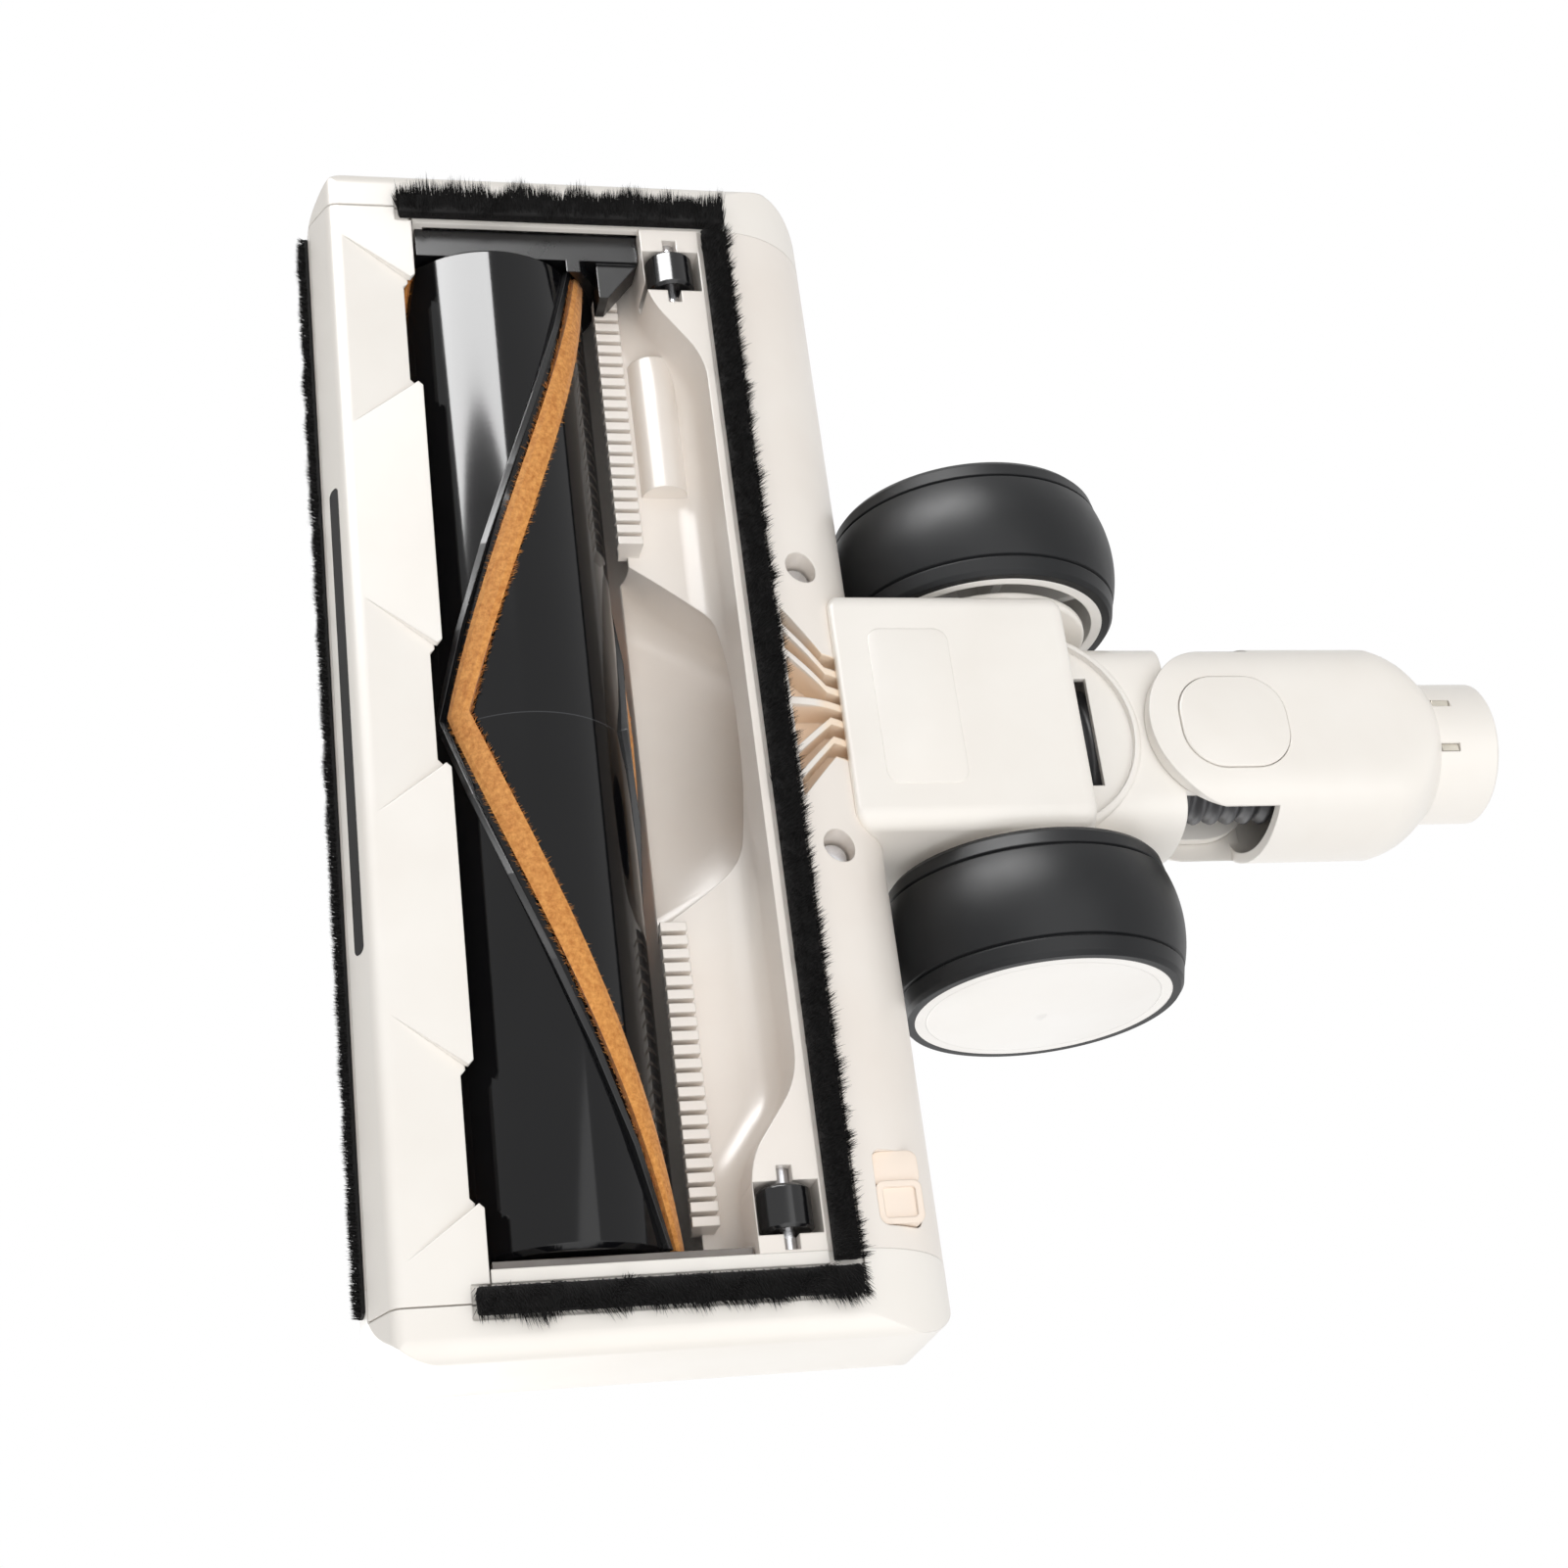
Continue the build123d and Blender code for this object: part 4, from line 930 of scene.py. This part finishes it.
def swivel_caps():
    """Oval covers above and below the fork, each over a short pin."""
    for side, end in ((-1, "lower"), (1, "upper")):
        low, high = sorted((side * (FORK_HALF - CAP_SINK), side * (FORK_HALF + CAP_RISE)))
        cap = cap_block(low, high, 0.0)
        round_edges(cap, 0.35 * MM)
        finish_shell(cap, "swivel_cap_" + end, "tube", cream, ["pivot_cap_" + end])
        pin_end = LINK_HALF - WALL - PIN_PROUD
        low, high = sorted((side * (FORK_HALF - CAP_SEAT), side * pin_end))
        pin = disc(pivot.y, level(low), level(high), PIN_RADIUS)
        round_edges(pin, 0.3 * MM)
        finish_shell(pin, "swivel_pin_" + end, "tube", steel, ["pivot_pin_" + end])


elbow_shell()
tube_shell()
swivel_caps()


# Cradle: faint panel underneath, and the round cheeks beside the wheels
PANEL_MIDDLE = 16.2 * MM
PANEL_HALF_WIDE = 18.2 * MM
PANEL_HALF_LONG = 8.9 * MM
PANEL_PROUD = 0.12 * MM
PANEL_ROOT = 0.4 * MM
PANEL_CORNER = 3.0 * MM
CHEEK_INNER = 27.0 * MM
CHEEK_OUTER = 29.4 * MM
CHEEK_RADIUS = 23.0 * MM
CHEEK_EDGE = 0.8 * MM
CHEEK_BORE = 9.0 * MM
CHEEK_CUT = 20 * MM


def cradle_panel():
    y = cradle_low.y + PANEL_MIDDLE
    panel = brick(
        -PANEL_HALF_WIDE, PANEL_HALF_WIDE, y - PANEL_HALF_LONG, y + PANEL_HALF_LONG,
        cradle_low.z - PANEL_PROUD, cradle_low.z + PANEL_ROOT,
    )
    round_corners(panel, UPRIGHT, PANEL_CORNER, segments=6)
    round_edges(panel, 0.1 * MM)
    finish_shell(panel, "cradle_panel", "head", cream)


def wheel_cheeks():
    for side, end in ((-1, "left"), (1, "right")):
        x = side * (CHEEK_INNER + CHEEK_OUTER) / 2
        cheek = bar_across(x, CHEEK_OUTER - CHEEK_INNER, CHEEK_RADIUS)
        round_edges(cheek, CHEEK_EDGE)
        carve(cheek, bar_across(x, CHEEK_CUT, CHEEK_BORE, 64), "DIFFERENCE")
        finish_shell(cheek, "wheel_cheek_" + end, "head", cream)


# Latch: cover of its recess, and the spring behind the button
COVER_THICK = 0.5 * MM
COVER_LAP = 0.9 * MM
COVER_SIDE = 0.15 * MM
COVER_CORNER = 1.9 * MM
COVER_DROP = 0.1 * MM


def latch_floor():
    """Thin cover between the latch button and the end of its recess."""
    button_low, button_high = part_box("latch_slider")
    spring_low, spring_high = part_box("latch_spring")
    wall = spring_high.x
    level_z = spring_low.z - COVER_DROP
    middle = (spring_low.y + spring_high.y) / 2
    half = (button_high.y - button_low.y) / 2 + COVER_SIDE
    cover = brick(spring_low.x - COVER_LAP, wall, middle - half, middle + half,
                  level_z - COVER_THICK, level_z)
    round_corners(cover, UPRIGHT, COVER_CORNER, segments=6)
    round_edges(cover, 0.1 * MM)
    finish_shell(cover, "latch_cover", "head", cream_soft)
    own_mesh(cover)


def latch_coil():
    """The latch spring, between the button and the end of its recess."""
    coil = link_mesh("latch_coil", nodes["latch_spring"].data.copy())
    finish_shell(coil, "latch_coil", "head", steel, ["latch_spring"])
    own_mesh(coil)


cradle_panel()
wheel_cheeks()
latch_floor()
latch_coil()


# Ribbed hose in the neck, pressed a little oval
HOSE_CREST = 11.0 * MM
HOSE_PITCH = 4.0 * MM
HOSE_DEPTH = 1.2 * MM
HOSE_WALL = 1.4 * MM
HOSE_SPREAD = 1.45
HOSE_STEPS_PER_RIB = 8
HOSE_SIDES = 48
hose_low, hose_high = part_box("hose")
hose_middle = axle.y + 24 * MM


def hose_part(name, y0, y1):
    centre_z = (hose_low.z + hose_high.z) / 2
    steps = int(round((y1 - y0) / HOSE_PITCH * HOSE_STEPS_PER_RIB))
    ys = np.linspace(y0, y1, steps + 1)
    wave = 0.5 - 0.5 * np.cos((ys - hose_low.y) / HOSE_PITCH * FULL_TURN)
    outside = list(zip(ys, HOSE_CREST - HOSE_DEPTH * wave))
    inside = [(y, radius - HOSE_WALL) for y, radius in reversed(outside)]
    piece = spun(name, outside + inside, centre_z, HOSE_SIDES)
    bpy.ops.object.mode_set(mode="EDIT")
    bpy.ops.mesh.select_all(action="SELECT")
    bpy.ops.transform.resize(value=(HOSE_SPREAD, 1.0, 1.0), center_override=(0, 0, centre_z))
    bpy.ops.object.mode_set(mode="OBJECT")
    bpy.ops.object.shade_smooth()
    dress_in(piece, hose_rubber)
    clear_selection()
    return piece


hose_front = hose_part("hose_front", hose_low.y, hose_middle)
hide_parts("hose")
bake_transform(hose_front)
hose_rear = hose_part("hose_rear", hose_middle, hose_high.y)
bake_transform(hose_rear)


# Floor, lamps and camera


def pale_floor():
    """Floor that shows only from above, so that the underside can be lit and seen."""
    clear_selection()
    bpy.ops.mesh.primitive_plane_add(size=6.0, location=(0, 0, -0.02 * MM))
    floor = bpy.context.object
    floor.name = "floor"
    material, tree, shader = new_material("pale_floor")
    cloud = noise(tree, object_coords(tree), scale=3.0)
    tone = two_tone(tree, cloud, (0.80, 0.79, 0.78), (0.84, 0.83, 0.82))
    tree.links.new(tone, shader.inputs["Base Color"])
    shader.inputs["Roughness"].default_value = 0.8
    path = tree.nodes.new("ShaderNodeLightPath")
    geometry = tree.nodes.new("ShaderNodeNewGeometry")
    above = reckon(
        tree, "SUBTRACT", path.outputs["Is Camera Ray"], geometry.outputs["Backfacing"]
    )
    above.use_clamp = True
    clear = tree.nodes.new("ShaderNodeBsdfTransparent")
    mix = tree.nodes.new("ShaderNodeMixShader")
    tree.links.new(above.outputs[0], mix.inputs[0])
    tree.links.new(clear.outputs[0], mix.inputs[1])
    tree.links.new(shader.outputs[0], mix.inputs[2])
    tree.links.new(mix.outputs[0], tree.nodes["Material Output"].inputs["Surface"])
    floor.data.materials.append(material)
    clear_selection()


def softbox(name, aim, direction, distance, width, height, power, along=(0, 0, 1)):
    """Rectangular lamp facing its aim, with its width laid along a direction."""
    lamp = bpy.data.lights.new(name, "AREA")
    lamp.shape = "RECTANGLE"
    lamp.size = width
    lamp.size_y = height
    lamp.energy = power
    place = bpy.data.objects.new(name, lamp)
    scene.collection.objects.link(place)
    away = Vector(direction).normalized()
    wide = Vector(along) - away * Vector(along).dot(away)
    wide.normalize()
    turn = Matrix((wide, away.cross(wide), away)).transposed()
    place.matrix_world = Matrix.Translation(Vector(aim) + away * distance) @ turn.to_4x4()
    return place


pale_floor()
MIDDLE = (0, 0, 0.03)
softbox("key_below", MIDDLE, (-0.30, 0.10, -0.95),
        distance=1.6, width=1.8, height=1.8, power=14.4)
softbox("side_fill", MIDDLE, (-0.92, -0.05, -0.38),
        distance=1.5, width=1.2, height=1.2, power=5.0)
softbox("key_above", MIDDLE, (-0.35, -0.45, 0.82),
        distance=1.6, width=1.6, height=1.6, power=16.0)
gleam = softbox("roller_gleam", (0.08, roller_axis.y - 0.006, 0.004), (0.66, -0.36, -0.66),
                distance=1.2, width=1.1, height=0.34, power=30.0, along=(0.02, 0.887, -0.461))
gleam.visible_diffuse = False

# White backdrop for what is seen or mirrored, softer light from the room on the surfaces
world = bpy.data.worlds.new("studio")
scene.world = world
world.use_nodes = True
sky = world.node_tree
backdrop = sky.nodes["Background"]
backdrop.inputs["Color"].default_value = (1.0, 1.0, 1.0, 1.0)
backdrop.inputs["Strength"].default_value = 1.0
room = sky.nodes.new("ShaderNodeBackground")
room.inputs["Color"].default_value = (1.0, 0.99, 0.975, 1.0)
room.inputs["Strength"].default_value = 0.52
sight = sky.nodes.new("ShaderNodeLightPath")
seen = sight.outputs["Is Camera Ray"]
for kind in ("Is Glossy Ray", "Is Transmission Ray"):
    seen = reckon(sky, "MAXIMUM", seen, sight.outputs[kind]).outputs[0]
blend = sky.nodes.new("ShaderNodeMixShader")
sky.links.new(seen, blend.inputs[0])
sky.links.new(room.outputs[0], blend.inputs[1])
sky.links.new(backdrop.outputs[0], blend.inputs[2])
sky.links.new(blend.outputs[0], sky.nodes["World Output"].inputs["Surface"])

CAMERA_PLACE = Vector((-0.2484, -0.17298, -0.46897))
CAMERA_RIGHT = Vector((-0.11922, 0.96942, -0.21449))
CAMERA_UP = Vector((0.89820, 0.01325, -0.43939))
CAMERA_BACK = Vector((-0.42311, -0.24504, -0.87232))
camera_data = bpy.data.cameras.new("camera")
camera_data.sensor_width = 36.0
camera_data.lens = 61.5
camera_data.clip_start = 0.01
camera = bpy.data.objects.new("camera", camera_data)
scene.collection.objects.link(camera)
camera_turn = Matrix((CAMERA_RIGHT, CAMERA_UP, CAMERA_BACK)).transposed()
camera.matrix_world = Matrix.Translation(CAMERA_PLACE) @ camera_turn.to_4x4()
scene.camera = camera
scene.view_settings.view_transform = "Standard"
